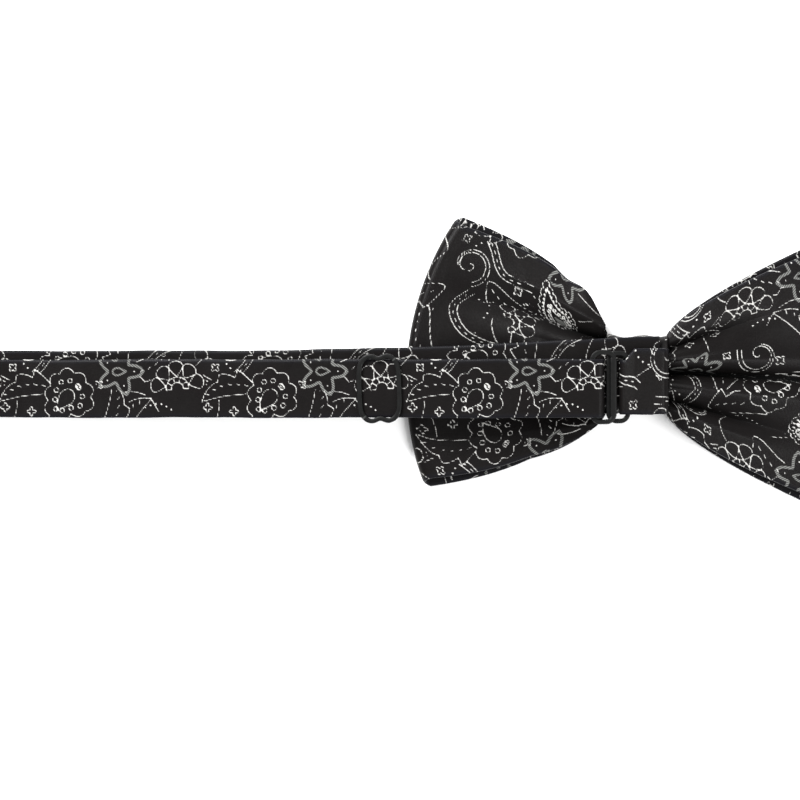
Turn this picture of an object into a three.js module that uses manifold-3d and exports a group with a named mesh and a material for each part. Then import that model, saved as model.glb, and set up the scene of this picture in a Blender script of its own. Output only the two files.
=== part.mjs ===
// A pre-tied adjustable bow tie, lying face down with its neck band closed and folded flat to the left.
// Millimetres, +Z up, +X to the right. The origin is under the middle of the knot, on the resting plane.
import * as THREE from 'three';
import { mergeVertices } from 'three/addons/utils/BufferGeometryUtils.js';
import Module from 'manifold-3d';

const wasm = await Module();
wasm.setup();

// ---- Driving dimensions ----
// Bow
const wingReach = 60;           // knot centre to the outermost point of a wing
const wingCornerX = 51.6;       // knot centre to a wing's corners
const wingCornerY = 35.6;       // half the height of a wing at its corners
const wingWaistY = 10;          // half the height of a wing where it is gathered
const wingPly = 1.1;            // one folded ply of the wing
const wingLeftTurn = 7;         // degrees that the left wing leans towards the knot
const wingBackRim = 2.2;        // the back ply is this much narrower than the front one
const wingEdgeHeight = 3.9;     // a wing's height at its outer edge
const wingWaistHeight = 9.6;    // a wing's height at the waist
const frontWaistLift = 1.6;     // the front ply rises this much into the knot
const wingFlare = 0.72;         // the power by which a wing opens from its waist
const wingRound = 0.92;         // the power that rounds its outer edge
const wingFall = 1.6;           // the power by which it thins towards its edge
const wingCrown = 0.35;         // and its share of height lost at the sides
const wingShoulder = 3.7;       // the left wing's upper edge swells this much beside the knot,
const wingUpperSwell = 2.9;     // and this much along its whole length,
const wingLowerSwell = 2.1;     // its lower edge swells this much,
const wingLeftExtra = 0.4;      // and its outer edge reaches this much further
const wingLeanRun = 0.4;        // the left wing has its full lean this far out
const interliningPly = 0.5;
const interliningInset = 4;     // the interlining stops this far inside the ply's edges

// Knot
const knotWidth = 15.7;
const knotDepth = 21;           // across the wrap, along Y
const knotHeight = 12;
const wrapWall = 1.1;
const knotLiningWall = 0.7;
const bindingWall = 0.7;
const bindingWidth = 6;
const wrapRound = 4.2;          // corner radii of the rings round the waist, from the outside in
const liningRound = 3.2;
const bindingRound = 2.4;
const coreRound = 1.6;

// Neck band
const bandWidth = 15.3;
const bandPly = 0.8;
const bandLowerY = -1.2;        // middle of the lower run
const bandUpperY = -3.6;        // middle of the upper run
const slopeTopX = -15;          // the band leaves the knot's level here
const slopeFootX = -129;        // and reaches the resting plane here
const foldX = -217;             // centre of the fold at the far end
const foldHeight = 5;           // outer height of that fold
const foldRunX = -190;          // the upper run lies flat up to here
const foldEase = 6;             // its bends are eased over this length
const foldEaseRise = 0.3;
const loopSplit = 0.6;          // the hook's loop begins this far past the slope's top
const loopReach = 1.1;          // and its turn's centre is this far past the hook's left bar
const loopTail = 0.2;           // its lower ply ends this far outside the hook
const loopDrop = 0.05;
const returnRise = 5;           // the return ply comes down onto the slope over this length
const anchorRun = 10.5;         // the anchor's plies end this far right of the slider's middle
const anchorWidth = bandWidth - 0.2;
const anchorTuck = 1;           // its lower ply is shorter by this much
const barRoom = 0.1;
const tabWidth = bandWidth - 1;
const tabFlare = 2.9;           // past the eye the tab's upper edge flares by this much
const tabFlareX = -1.2;         // and has its full width from here on
const tabTuck = 1.5;            // the tab's end is tucked this far in over the lower run

// Metalwork
const wire = 1.1;               // width of the bars, seen from above
const wireThick = 1.0;
const cornerRound = 2.6;
const sliderX = -66.85;
const sliderWidth = 11.7;
const sliderDepth = 18.6;
const sliderTilt = 2;           // degrees
const hookLeftX = -12.8;
const hookRightX = -5.85;
const hookDepth = 19.3;
const hookY = -3.25;
const eyeLeftX = -8.5;
const eyeRightX = -2.2;
const eyeDepth = hookDepth - 0.4;
const eyeThick = 0.9;
const tongueHalf = 5.5;         // half the width of the hook's tongue
const tongueBelow = 0.4;        // the tongue reaches this far below the eye
const overlap = 0.5;            // solids that are joined run into each other by this much
const barJoin = 0.2;
const cutRoom = 1;              // cutters pass the metal by this much
const tackHalf = 5;             // half the length of a bar tack
const tackWidth = 1.4;
const tackInset = 2.6;          // the anchor's bar tack is this far from its end
const tabTackX = -0.4;

// Clearances
const gap = 0.3;
const fabricGap = 0.25;

// ---- Levels above the underside of the lower run ----
const anchorLow = bandPly + gap;
const barLow = anchorLow + bandPly + gap;
const returnLow = barLow + wireThick + gap;
const upperLow = returnLow + bandPly + gap;
const sliderTop = upperLow + bandPly + gap;
const tabLow = bandPly + fabricGap;
const eyeLow = tabLow + bandPly + fabricGap;
const tabTop = eyeLow + eyeThick + fabricGap;
const hookLow = upperLow - gap - wireThick;
const hookPlyLow = hookLow - gap - bandPly;
const bandRest = knotHeight + gap;              // the lower run's underside on the knot
const slope = Math.atan2(bandRest, slopeTopX - slopeFootX);

// ---- Colours ----
const satin = { color: 0x1d1b1b, roughness: 0.55, metalness: 0 };
const lining = { color: 0x2b2a2a, roughness: 0.9, metalness: 0 };
const thread = { color: 0x111113, roughness: 0.8, metalness: 0 };
const enamel = { color: 0x242426, roughness: 0.35, metalness: 0.3 };

const bowTie = new THREE.Group();

function addPiece(name, geometry, finish) {
  const mesh = new THREE.Mesh(geometry, new THREE.MeshStandardMaterial(finish));
  mesh.name = name;
  bowTie.add(mesh);
  return mesh;
}

// ---- Solids ----
function toSolid(geometry) {
  const bare = geometry.clone();
  bare.deleteAttribute('normal');
  bare.deleteAttribute('uv');
  const merged = mergeVertices(bare, 1e-4);
  const vertProperties = new Float32Array(merged.attributes.position.array);
  const triVerts = new Uint32Array(merged.index.array);
  return new wasm.Manifold(new wasm.Mesh({ numProp: 3, vertProperties, triVerts }));
}

function toGeometry(solid) {
  const mesh = solid.getMesh();
  const geometry = new THREE.BufferGeometry();
  geometry.setAttribute('position', new THREE.BufferAttribute(new Float32Array(mesh.vertProperties), 3));
  geometry.setIndex(new THREE.BufferAttribute(new Uint32Array(mesh.triVerts), 1));
  geometry.computeVertexNormals();
  return geometry;
}

function boxBetween(x0, x1, y0, y1, z0, z1) {
  const box = new THREE.BoxGeometry(x1 - x0, y1 - y0, z1 - z0);
  return box.translate((x0 + x1) / 2, (y0 + y1) / 2, (z0 + z1) / 2);
}

function roundedRect(width, depth, radius) {
  const shape = new THREE.Shape();
  const a = width / 2 - radius;
  const b = depth / 2 - radius;
  shape.absarc(a, b, radius, 0, Math.PI / 2);
  shape.absarc(-a, b, radius, Math.PI / 2, Math.PI);
  shape.absarc(-a, -b, radius, Math.PI, 1.5 * Math.PI);
  shape.absarc(a, -b, radius, 1.5 * Math.PI, 2 * Math.PI);
  shape.closePath();
  return shape;
}

// A plate with round corners lying flat, from z0 to z1.
function roundedPlate(width, depth, radius, z0, z1, curveSegments = 5) {
  const plate = new THREE.ExtrudeGeometry(roundedRect(width, depth, radius),
    { depth: z1 - z0, bevelEnabled: false, curveSegments });
  return plate.translate(0, 0, z0);
}

// A round-cornered sleeve round the X axis: outer size, wall and length, centred on x = 0.
function sleeve(outerY, zLow, zHigh, wall, length, radius) {
  const shape = roundedRect(zHigh - zLow, outerY, radius);
  const inner = roundedRect(zHigh - zLow - 2 * wall, outerY - 2 * wall, Math.max(radius - wall, 0.4));
  shape.holes.push(inner);
  const ring = new THREE.ExtrudeGeometry(shape, { depth: length, bevelEnabled: false, curveSegments: 6 });
  ring.rotateY(Math.PI / 2);
  return ring.translate(-length / 2, 0, (zLow + zHigh) / 2);
}

// ---- Band: a side outline in X and Z, carried across the band's width ----
function extrudeAcross(outline, middleY, width) {
  const shape = new THREE.Shape(outline.map(([x, z]) => new THREE.Vector2(x, z)));
  const solid = new THREE.ExtrudeGeometry(shape, { depth: width, bevelEnabled: false });
  solid.rotateX(Math.PI / 2);
  return solid.translate(0, middleY + width / 2, 0);
}

// The outline of a ribbon whose middle follows a path of [x, z] points.
function ribbonOutline(path, thickness) {
  const left = [];
  const right = [];
  for (let i = 0; i < path.length; i++) {
    const here = new THREE.Vector2(...path[i]);
    const before = new THREE.Vector2(...path[Math.max(i - 1, 0)]);
    const after = new THREE.Vector2(...path[Math.min(i + 1, path.length - 1)]);
    const d0 = here.clone().sub(before).normalize();
    const d1 = after.clone().sub(here).normalize();
    const along = d0.add(d1).normalize();
    const step = i > 0 ? here.clone().sub(before).normalize() : along;
    const half = thickness / 2 / Math.max(along.dot(step), 0.5);
    left.push([here.x - along.y * half, here.y + along.x * half]);
    right.unshift([here.x + along.y * half, here.y - along.x * half]);
  }
  return left.concat(right);
}

function ribbon(path, middleY, width = bandWidth) {
  return extrudeAcross(ribbonOutline(path, bandPly), middleY, width);
}

// Points of a half turn round (x, z), from the angle a0 to a1 in degrees.
function turn(x, z, radius, a0, a1, steps = 8) {
  const points = [];
  for (let i = 0; i <= steps; i++) {
    const a = THREE.MathUtils.degToRad(a0 + (a1 - a0) * i / steps);
    points.push([x + radius * Math.cos(a), z + radius * Math.sin(a)]);
  }
  return points;
}

// The point on the band's route at x, a height w above the lower run's underside.
function onRoute(x, w) {
  const bend = w * Math.tan(slope / 2);
  if (x > slopeTopX - bend) {
    return [x, bandRest + w];
  }
  const drop = (slopeTopX - x) * Math.tan(slope);
  return [x, bandRest - drop + w / Math.cos(slope)];
}

// Where a layer at height w meets the level z on the slope.
function slopeMeets(w, z) {
  return slopeTopX - (bandRest + w / Math.cos(slope) - z) / Math.tan(slope);
}

// Where a layer at height w turns from the knot's level into the slope.
function slopeStart(w) {
  return [slopeTopX - w * Math.tan(slope / 2), bandRest + w];
}

// A group turned into the slope, whose z = 0 is the lower run's underside at x.
function slopeGroup(x, y) {
  const group = new THREE.Group();
  const [px, pz] = onRoute(x, 0);
  group.position.set(px, y, pz);
  group.rotation.y = -slope;
  bowTie.add(group);
  return group;
}

// ---- Wings ----
// u runs from the waist to the outer edge and v from the lower to the upper edge.
// rim narrows the ply at its corners and shorten takes the same length off its outer edge.
function wingOutline(side, u, v, rim, shorten) {
  const start = knotWidth / 2 + gap;
  const reach = start + (wingCornerX - start) * u;
  const bulge = (wingReach - wingCornerX) * Math.pow(Math.max(1 - v * v, 0), wingRound) * u * u;
  const half = wingWaistY + (wingCornerY - wingWaistY) * Math.pow(u, wingFlare) - rim * u;
  const upper = wingShoulder * Math.exp(-Math.pow((u - 0.13) / 0.12, 2))
    + wingUpperSwell * Math.sin(Math.PI * Math.pow(u, 0.8));
  const swell = v * v * (v > 0 ? upper : -wingLowerSwell * Math.sin(Math.PI * u));
  const extra = side < 0 ? wingLeftExtra * u * u : 0;
  return [reach + bulge + extra - shorten * u, half * v + (side < 0 ? swell : 0)];
}

// Places a point of a wing: the left wing is mirrored and leans by wingLeftTurn past its waist.
function wingPlace(side, x, y, u) {
  const lean = side < 0 ? THREE.MathUtils.degToRad(wingLeftTurn) * Math.min(u / wingLeanRun, 1) : 0;
  const px = x * side;
  return [px * Math.cos(lean) + y * Math.sin(lean), y * Math.cos(lean) - px * Math.sin(lean)];
}

// Turns the triangles of a mirrored piece round, so that its faces still point out.
function faceOut(index, side) {
  if (side > 0) {
    return index;
  }
  const turned = [];
  for (let k = 0; k < index.length; k += 3) {
    turned.push(index[k], index[k + 2], index[k + 1]);
  }
  return turned;
}

function meshFrom(positions, index) {
  const geometry = new THREE.BufferGeometry();
  geometry.setAttribute('position', new THREE.Float32BufferAttribute(positions, 3));
  geometry.setIndex(index);
  geometry.computeVertexNormals();
  return geometry;
}

function wingHeight(u, v) {
  const crown = 1 - wingCrown * v * v;
  return wingEdgeHeight + (wingWaistHeight - wingEdgeHeight) * Math.pow(1 - u, wingFall) * crown;
}

function wingPanel(side, rim, shorten, lowAt, highAt) {
  const nu = 12;
  const nv = 10;
  const positions = [];
  const index = [];
  for (const heightAt of [lowAt, highAt]) {
    for (let i = 0; i <= nu; i++) {
      for (let j = 0; j <= nv; j++) {
        const u = i / nu;
        const v = 2 * j / nv - 1;
        const [x, y] = wingOutline(side, u, v, rim, shorten);
        positions.push(...wingPlace(side, x, y, u), heightAt(u, v));
      }
    }
  }
  const at = (layer, i, j) => (layer * (nu + 1) + i) * (nv + 1) + j;
  const quad = (a, b, c, d) => index.push(a, b, c, a, c, d);
  for (let i = 0; i < nu; i++) {
    for (let j = 0; j < nv; j++) {
      quad(at(1, i, j), at(1, i + 1, j), at(1, i + 1, j + 1), at(1, i, j + 1));
      quad(at(0, i, j), at(0, i, j + 1), at(0, i + 1, j + 1), at(0, i + 1, j));
    }
    quad(at(0, i, 0), at(0, i + 1, 0), at(1, i + 1, 0), at(1, i, 0));
    quad(at(0, i + 1, nv), at(0, i, nv), at(1, i, nv), at(1, i + 1, nv));
  }
  for (let j = 0; j < nv; j++) {
    quad(at(0, 0, j + 1), at(0, 0, j), at(1, 0, j), at(1, 0, j + 1));
    quad(at(0, nu, j), at(0, nu, j + 1), at(1, nu, j + 1), at(1, nu, j));
  }
  return meshFrom(positions, faceOut(index, side));
}

// The folded outer edge that joins the front ply to the back ply: half a tube along the edge.
function wingFold(side) {
  const nv = 12;
  const arc = 6;
  const outer = wingEdgeHeight / 2;
  const section = [];
  for (let k = 0; k <= arc; k++) {
    const a = -Math.PI / 2 + Math.PI * k / arc;
    section.push([outer * Math.cos(a), outer + outer * Math.sin(a)]);
  }
  for (let k = arc; k >= 0; k--) {
    const a = -Math.PI / 2 + Math.PI * k / arc;
    section.push([(outer - wingPly) * Math.cos(a), outer + (outer - wingPly) * Math.sin(a)]);
  }
  const ring = section.length;
  const positions = [];
  const index = [];
  for (let j = 0; j <= nv; j++) {
    const [x, y] = wingOutline(side, 1, 2 * j / nv - 1, 0, outer);
    for (const [dx, z] of section) {
      positions.push(...wingPlace(side, x + dx, y, 1), z);
    }
  }
  for (let j = 0; j < nv; j++) {
    for (let k = 0; k < ring; k++) {
      const a = j * ring + k;
      const b = j * ring + (k + 1) % ring;
      index.push(a, a + ring, b + ring, a, b + ring, b);
    }
  }
  for (let k = 0; k < arc; k++) {
    const low = [k, k + 1, ring - 2 - k, ring - 1 - k];
    const high = low.map((i) => i + nv * ring);
    index.push(low[0], low[1], low[2], low[0], low[2], low[3]);
    index.push(high[0], high[2], high[1], high[0], high[3], high[2]);
  }
  return meshFrom(positions, faceOut(index, side));
}

function makeWing(name, side) {
  const frontTop = wingPly;
  const liningTop = frontTop + gap + interliningPly;
  const foldRoom = wingEdgeHeight / 2 + gap;
  const waistLift = (u) => frontWaistLift * Math.pow(1 - u, 3);
  addPiece(`wing_${name}_front`, wingPanel(side, 0, foldRoom,
    waistLift, (u) => frontTop + waistLift(u)), satin);
  addPiece(`wing_${name}_interlining`, wingPanel(side, interliningInset, foldRoom + interliningInset,
    (u) => frontTop + gap + waistLift(u), (u) => liningTop + waistLift(u)), lining);
  addPiece(`wing_${name}_back`, wingPanel(side, wingBackRim, foldRoom,
    (u, v) => wingHeight(u, v) - wingPly, wingHeight), satin);
  addPiece(`wing_${name}_edge_fold`, wingFold(side), satin);
}

makeWing('left', -1);
makeWing('right', 1);

// ---- Knot ----
const sleeveInner = wrapWall + gap;
const liningInner = sleeveInner + knotLiningWall + gap;
const coreInset = liningInner + bindingWall + gap;

addPiece('knot_wrap', sleeve(knotDepth, 0, knotHeight, wrapWall, knotWidth, wrapRound), satin);
addPiece('knot_lining', sleeve(knotDepth - 2 * sleeveInner, sleeveInner, knotHeight - sleeveInner,
  knotLiningWall, knotWidth - 1, liningRound), lining);
addPiece('waist_binding', sleeve(knotDepth - 2 * liningInner, liningInner, knotHeight - liningInner,
  bindingWall, bindingWidth, bindingRound), thread);

function waistCore() {
  const shape = roundedRect(knotHeight - 2 * coreInset, knotDepth - 2 * coreInset, coreRound);
  const core = new THREE.ExtrudeGeometry(shape,
    { depth: knotWidth, bevelEnabled: false, curveSegments: 5 });
  core.rotateY(Math.PI / 2);
  return core.translate(-knotWidth / 2, 0, knotHeight / 2);
}
addPiece('waist_gathers', waistCore(), satin);

// ---- Band: lower run and the fold at the far end ----
const half = bandPly / 2;
const rootEndX = knotWidth / 2 - tabTop / 2 - bandPly / 2 - gap;
addPiece('band_lower', ribbon([
  [rootEndX, bandRest + half],
  slopeStart(half),
  [slopeMeets(half, half), half],
  [foldX + gap, half],
], bandLowerY), satin);

const foldRadius = foldHeight / 2 - half;
const foldMiddle = foldHeight / 2;
function foldPiece() {
  const path = turn(foldX, foldMiddle, foldRadius, 270, 90, 12);
  const skewed = new THREE.ExtrudeGeometry(
    new THREE.Shape(ribbonOutline(path, bandPly).map(([x, z]) => new THREE.Vector2(x, z))),
    { depth: bandWidth, bevelEnabled: false });
  skewed.rotateX(Math.PI / 2);
  skewed.translate(0, bandWidth / 2, 0);
  const spot = skewed.attributes.position;
  for (let i = 0; i < spot.count; i++) {
    const t = (spot.getZ(i) - half) / (foldHeight - bandPly);
    spot.setY(i, spot.getY(i) + THREE.MathUtils.lerp(bandLowerY, bandUpperY, THREE.MathUtils.clamp(t, 0, 1)));
  }
  return skewed;
}
addPiece('band_fold', foldPiece(), satin);

// ---- Band: upper run, hook loop, return ply and anchor loop ----
const flatUpper = bandPly + gap + half;
const loopSplitX = slopeTopX + loopSplit;
const foldTop = foldHeight - half;
addPiece('band_upper', ribbon([
  [foldX + gap, foldTop],
  [foldX + foldEase, foldTop - foldEaseRise],
  [foldRunX - foldEase, flatUpper + foldEaseRise],
  [foldRunX, flatUpper],
  [slopeMeets(upperLow + half, flatUpper), flatUpper],
  slopeStart(upperLow + half),
  [loopSplitX - gap, bandRest + upperLow + half],
], bandUpperY), satin);

const loopTop = bandRest + upperLow + half;
const loopLow = bandRest + hookPlyLow + half;
const loopTurnX = hookLeftX + wire + loopReach;
addPiece('band_hook_loop', ribbon([
  [loopSplitX, loopTop],
  ...turn(loopTurnX, (loopTop + loopLow) / 2, (loopTop - loopLow) / 2, 90, -90),
  [hookLeftX - loopTail, loopLow],
], bandUpperY), satin);

const anchorEndX = sliderX + anchorRun;
const returnRiseX = slopeTopX - returnRise;
addPiece('band_return', ribbon([
  [hookLeftX - loopTail - gap, loopLow],
  [slopeTopX, loopLow - loopDrop],
  onRoute(returnRiseX, returnLow + half),
  onRoute(anchorEndX + gap, returnLow + half),
], bandUpperY), satin);

const slopeSide = slopeGroup(sliderX, bandUpperY);
function addOnSlope(name, geometry, finish) {
  const mesh = addPiece(name, geometry, finish);
  slopeSide.add(mesh);
  return mesh;
}

const anchorLength = (anchorEndX - sliderX) / Math.cos(slope);
addOnSlope('adjuster_anchor', extrudeAcross(ribbonOutline([
  [anchorLength - anchorTuck, anchorLow + half],
  ...turn(-wire / 2 - barRoom, (anchorLow + returnLow) / 2 + half, (returnLow - anchorLow) / 2, 270, 90),
  [anchorLength, returnLow + half],
], bandPly), 0, anchorWidth), satin);
addOnSlope('adjuster_bar_tack',
  boxBetween(anchorLength - tackInset - tackWidth, anchorLength - tackInset,
    -tackHalf, tackHalf, barLow, returnLow - gap), thread);

// ---- Slider: two side-by-side rings with the middle bar dropped under the upper run ----
function makeSlider() {
  const lobe = sliderWidth / 2 + wire / 2;
  const offset = (sliderWidth - lobe) / 2;
  const top = sliderTop + wireThick;
  const ringAt = (x) => toSolid(roundedPlate(lobe, sliderDepth, cornerRound,
    sliderTop, top).translate(x, 0, 0));
  const holeAt = (x) => toSolid(roundedPlate(lobe - 2 * wire, sliderDepth - 2 * wire, cornerRound - wire,
    sliderTop - cutRoom, top + cutRoom).translate(x, 0, 0));
  const innerY = sliderDepth / 2 - wire;
  const railWidth = wire * 0.96;
  const middleCut = toSolid(boxBetween(-wire, wire, -innerY, innerY,
    sliderTop - cutRoom, top + cutRoom));
  const railFoot = (y) => toSolid(boxBetween(-wire, wire, y, y + railWidth, barLow, top - 0.1));
  const bar = toSolid(boxBetween(-wire / 2, wire / 2, -innerY - barJoin, innerY + barJoin,
    barLow, barLow + wireThick));
  const slider = ringAt(-offset).add(ringAt(offset))
    .subtract(holeAt(-offset)).subtract(holeAt(offset)).subtract(middleCut)
    .add(railFoot(innerY)).add(railFoot(-innerY - railWidth)).add(bar);
  return toGeometry(slider);
}
addOnSlope('slider', makeSlider(), enamel).rotation.z = THREE.MathUtils.degToRad(sliderTilt);

// ---- Hook and eye on the knot ----
function wireFrame(x0, x1, depth, low, high) {
  const middle = (x0 + x1) / 2;
  const outer = toSolid(roundedPlate(x1 - x0, depth, cornerRound, low, high).translate(middle, 0, 0));
  const window = toSolid(roundedPlate(x1 - x0 - 2 * wire, depth - 2 * wire, cornerRound - wire,
    low - cutRoom, high + cutRoom).translate(middle, 0, 0));
  return outer.subtract(window);
}

function makeHook() {
  const frame = wireFrame(hookLeftX, hookRightX, hookDepth, hookLow, hookLow + wireThick);
  const tongueLeft = eyeLeftX + wire + gap;
  const tongue = toSolid(boxBetween(tongueLeft, hookRightX, -tongueHalf, tongueHalf,
    eyeLow - tongueBelow, hookLow + overlap));
  return toGeometry(frame.add(tongue)).translate(0, hookY, bandRest);
}
addPiece('hook', makeHook(), enamel);

function makeEye() {
  const eye = wireFrame(eyeLeftX, eyeRightX, eyeDepth, eyeLow, eyeLow + eyeThick);
  return toGeometry(eye).translate(0, hookY, bandRest);
}
addPiece('eye', makeEye(), enamel);

// ---- Tab: comes out of the knot's right side, folds back over it and holds the eye ----
const tabY = hookY;
const tabFoldRadius = tabTop / 2;
const tabTurnX = rootEndX + gap;
const eyeTurnX = eyeRightX - wire + fabricGap;
const eyeTurnRadius = (tabTop - tabLow) / 2;
const tabUpper = bandRest + tabTop + half;
const tabLower = bandRest + tabLow + half;

// Widens the tab beyond the eye: its upper edge moves out by tabFlare.
function flareTab(geometry) {
  const spot = geometry.attributes.position;
  for (let i = 0; i < spot.count; i++) {
    if (spot.getY(i) > tabY) {
      const share = THREE.MathUtils.clamp((spot.getX(i) - eyeTurnX) / (tabFlareX - eyeTurnX), 0, 1);
      spot.setY(i, spot.getY(i) + tabFlare * share);
    }
  }
  return geometry;
}
addPiece('tab', flareTab(ribbon([
  ...turn(tabTurnX, bandRest + half + tabFoldRadius, tabFoldRadius, -90, 90),
  [tabFlareX, tabUpper],
  ...turn(eyeTurnX, (tabUpper + tabLower) / 2, eyeTurnRadius, 90, 270),
  [tabFlareX, tabLower],
  [rootEndX - tabTuck, tabLower],
], tabY, tabWidth)), satin);
addPiece('tab_bar_tack', boxBetween(tabTackX, tabTackX + tackWidth, tabY - tackHalf, tabY + tackHalf,
  bandRest + tabLow + bandPly + fabricGap, bandRest + tabTop - fabricGap), thread);

export default bowTie;
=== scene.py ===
import bpy
import numpy as np
from math import radians
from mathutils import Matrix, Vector


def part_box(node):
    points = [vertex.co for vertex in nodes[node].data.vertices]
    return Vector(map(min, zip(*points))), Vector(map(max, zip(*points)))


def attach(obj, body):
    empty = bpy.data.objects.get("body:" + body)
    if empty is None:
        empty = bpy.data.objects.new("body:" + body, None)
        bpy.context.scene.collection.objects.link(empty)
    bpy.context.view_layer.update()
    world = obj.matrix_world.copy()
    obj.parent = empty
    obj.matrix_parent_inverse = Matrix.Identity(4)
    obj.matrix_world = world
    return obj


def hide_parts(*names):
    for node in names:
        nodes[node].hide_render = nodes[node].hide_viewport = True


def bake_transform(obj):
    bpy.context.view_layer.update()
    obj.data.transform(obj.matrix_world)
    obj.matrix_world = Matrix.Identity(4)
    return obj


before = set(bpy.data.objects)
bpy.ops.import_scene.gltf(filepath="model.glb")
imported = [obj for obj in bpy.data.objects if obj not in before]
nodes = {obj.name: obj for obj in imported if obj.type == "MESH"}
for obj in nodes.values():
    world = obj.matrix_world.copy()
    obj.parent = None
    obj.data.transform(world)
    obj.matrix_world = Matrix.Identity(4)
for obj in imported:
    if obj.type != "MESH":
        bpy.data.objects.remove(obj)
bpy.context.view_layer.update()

mm = 0.001


def boxOf(name):   # a node's box at rest, in millimetres
    low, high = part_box(name)
    return np.array(low) / mm, np.array(high) / mm


print("stage: camera, floor and light")
view = {
    "centre": (-62.1, -6.6),      # the point in the middle of the view, mm
    "across": 209.6,              # width of the view at the cloth, mm
    "height": 900.0,              # camera above the floor, mm
    "clothLevel": 8.0,
}


def makeCamera():   # looks straight down on the tie's back
    data = bpy.data.cameras.new("camera")
    data.sensor_width = 36.0
    data.lens = data.sensor_width * (view["height"] - view["clothLevel"]) / view["across"]
    data.clip_start, data.clip_end = 0.01, 10
    camera = bpy.data.objects.new("camera", data)
    camera.location = (view["centre"][0] * mm, view["centre"][1] * mm, view["height"] * mm)
    bpy.context.scene.collection.objects.link(camera)
    bpy.context.scene.camera = camera


stageLook = {
    "floorSize": 6.0,
    "floorColour": (0.97, 0.97, 0.97, 1),
    "world": 0.74,
    "lamps": (                    # name, place, size and power of each soft lamp
        ("keyLamp", (-0.60, 0.80, 0.95), 0.65, 44.0),
        ("fillLamp", (0.80, -0.45, 1.2), 0.9, 20.0),
    ),
}


def makeStage():   # a pale floor, a pale surround and two large soft lamps
    s = stageLook["floorSize"] / 2
    mesh = bpy.data.meshes.new("floor")
    mesh.from_pydata([(-s, -s, 0), (s, -s, 0), (s, s, 0), (-s, s, 0)], [], [(0, 1, 2, 3)])
    floor = bpy.data.objects.new("floor", mesh)
    floor.location.z = -0.0002
    bpy.context.scene.collection.objects.link(floor)
    paper = bpy.data.materials.new("paleFloor")
    paper.use_nodes = True
    shader = paper.node_tree.nodes["Principled BSDF"]
    shader.inputs["Base Color"].default_value = stageLook["floorColour"]
    shader.inputs["Roughness"].default_value = 0.9
    shader.inputs["Specular IOR Level"].default_value = 0.1
    mesh.materials.append(paper)
    world = bpy.data.worlds.new("surround")
    world.use_nodes = True
    world.node_tree.nodes["Background"].inputs["Color"].default_value = (1, 1, 1, 1)
    world.node_tree.nodes["Background"].inputs["Strength"].default_value = stageLook["world"]
    bpy.context.scene.world = world
    for name, place, size, power in stageLook["lamps"]:
        data = bpy.data.lights.new(name, "AREA")
        data.shape = "DISK"
        data.size = size
        data.energy = power
        lamp = bpy.data.objects.new(name, data)
        lamp.location = place
        aim = np.array((-0.06, 0, 0)) - np.array(place)
        lamp.rotation_euler = Vector(aim).to_track_quat("-Z", "Y").to_euler()
        bpy.context.scene.collection.objects.link(lamp)
    bpy.context.scene.view_settings.view_transform = "Standard"


makeCamera()
makeStage()

print("stage: the woven pattern")
clothRepeat = {                # the woven pattern's repeat, in millimetres
    "width": 54.0,
    "height": 62.0,
    "cell": 0.1,               # spacing of the distance field
    "lineHalf": 0.125,         # half the width of a woven line
    "reach": 1.2,              # the field is filled in this far from a line
}


def alongPath(points):   # the distance run at each point of a path
    return np.concatenate([[0], np.cumsum(np.linalg.norm(np.diff(points, axis=0), axis=1))])


def polar(centre, radius, angle):   # points round a centre: radius and angle (degrees) may be arrays
    a = np.radians(angle)
    return np.stack([centre[0] + radius * np.cos(a), centre[1] + radius * np.sin(a)], 1)


def placed(points, centre, turn=0.0, size=1.0, flip=False):   # turns, scales and moves points
    a = np.radians(turn)
    p = np.asarray(points, float) * size
    if flip:
        p = p * (1, -1)
    return np.stack([centre[0] + p[:, 0] * np.cos(a) - p[:, 1] * np.sin(a),
                     centre[1] + p[:, 0] * np.sin(a) + p[:, 1] * np.cos(a)], 1)


def smooth(points, steps=8):   # a Catmull-Rom curve through the points
    p = np.asarray(points, float)
    p = np.vstack([2 * p[0] - p[1], p, 2 * p[-1] - p[-2]])
    t = np.linspace(0, 1, steps, endpoint=False)[None, :, None]
    a, b, c, d = (p[i:len(p) - 3 + i, None] for i in range(4))
    curve = 0.5 * (2 * b + (c - a) * t + (2 * a - 5 * b + 4 * c - d) * t ** 2
                   + (3 * b - a - 3 * c + d) * t ** 3)
    return np.vstack([curve.reshape(-1, 2), p[-2]])


def drop(length, width, bend, start=0.0, end=1.0, steps=44):   # a round-ended drop with a bent tip
    t = start + (end - start) * (0.5 - 0.5 * np.cos(np.linspace(0, np.pi, steps)))
    axis = np.stack([t * length, bend * length * (t - 0.3).clip(0) ** 2 * 1.6], 1)
    slope = np.gradient(axis, axis=0)
    side = np.stack([-slope[:, 1], slope[:, 0]], 1)
    side /= np.linalg.norm(side, axis=1, keepdims=True)
    s = (t - start) / (end - start)
    belly = 0.36   # where the drop is widest: a quarter ellipse before it, a power curve behind it
    half = width / 2 * np.where(s < belly, np.sqrt(1 - (1 - s / belly).clip(0) ** 2),
                                1 - ((s - belly) / (1 - belly)).clip(0) ** 1.35)
    return np.vstack([axis + side * half[:, None], (axis - side * half[:, None])[::-1]])


def closed(points):   # a curve that comes back to its first point
    return np.vstack([points, points[:1]])


def scallop(points, lobes, depth):   # a closed outline pushed out in round lobes
    run = alongPath(points)
    at = np.linspace(0, run[-1], lobes * 9 + 1)
    p = np.stack([np.interp(at, run, points[:, k]) for k in (0, 1)], 1)
    step = np.gradient(p, axis=0)
    out = np.stack([-step[:, 1], step[:, 0]], 1)
    out /= np.maximum(np.linalg.norm(out, axis=1, keepdims=True), 1e-6)
    phase = np.abs(np.sin(np.pi * lobes * at / run[-1]))
    return p + out * (depth * phase)[:, None]


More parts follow.
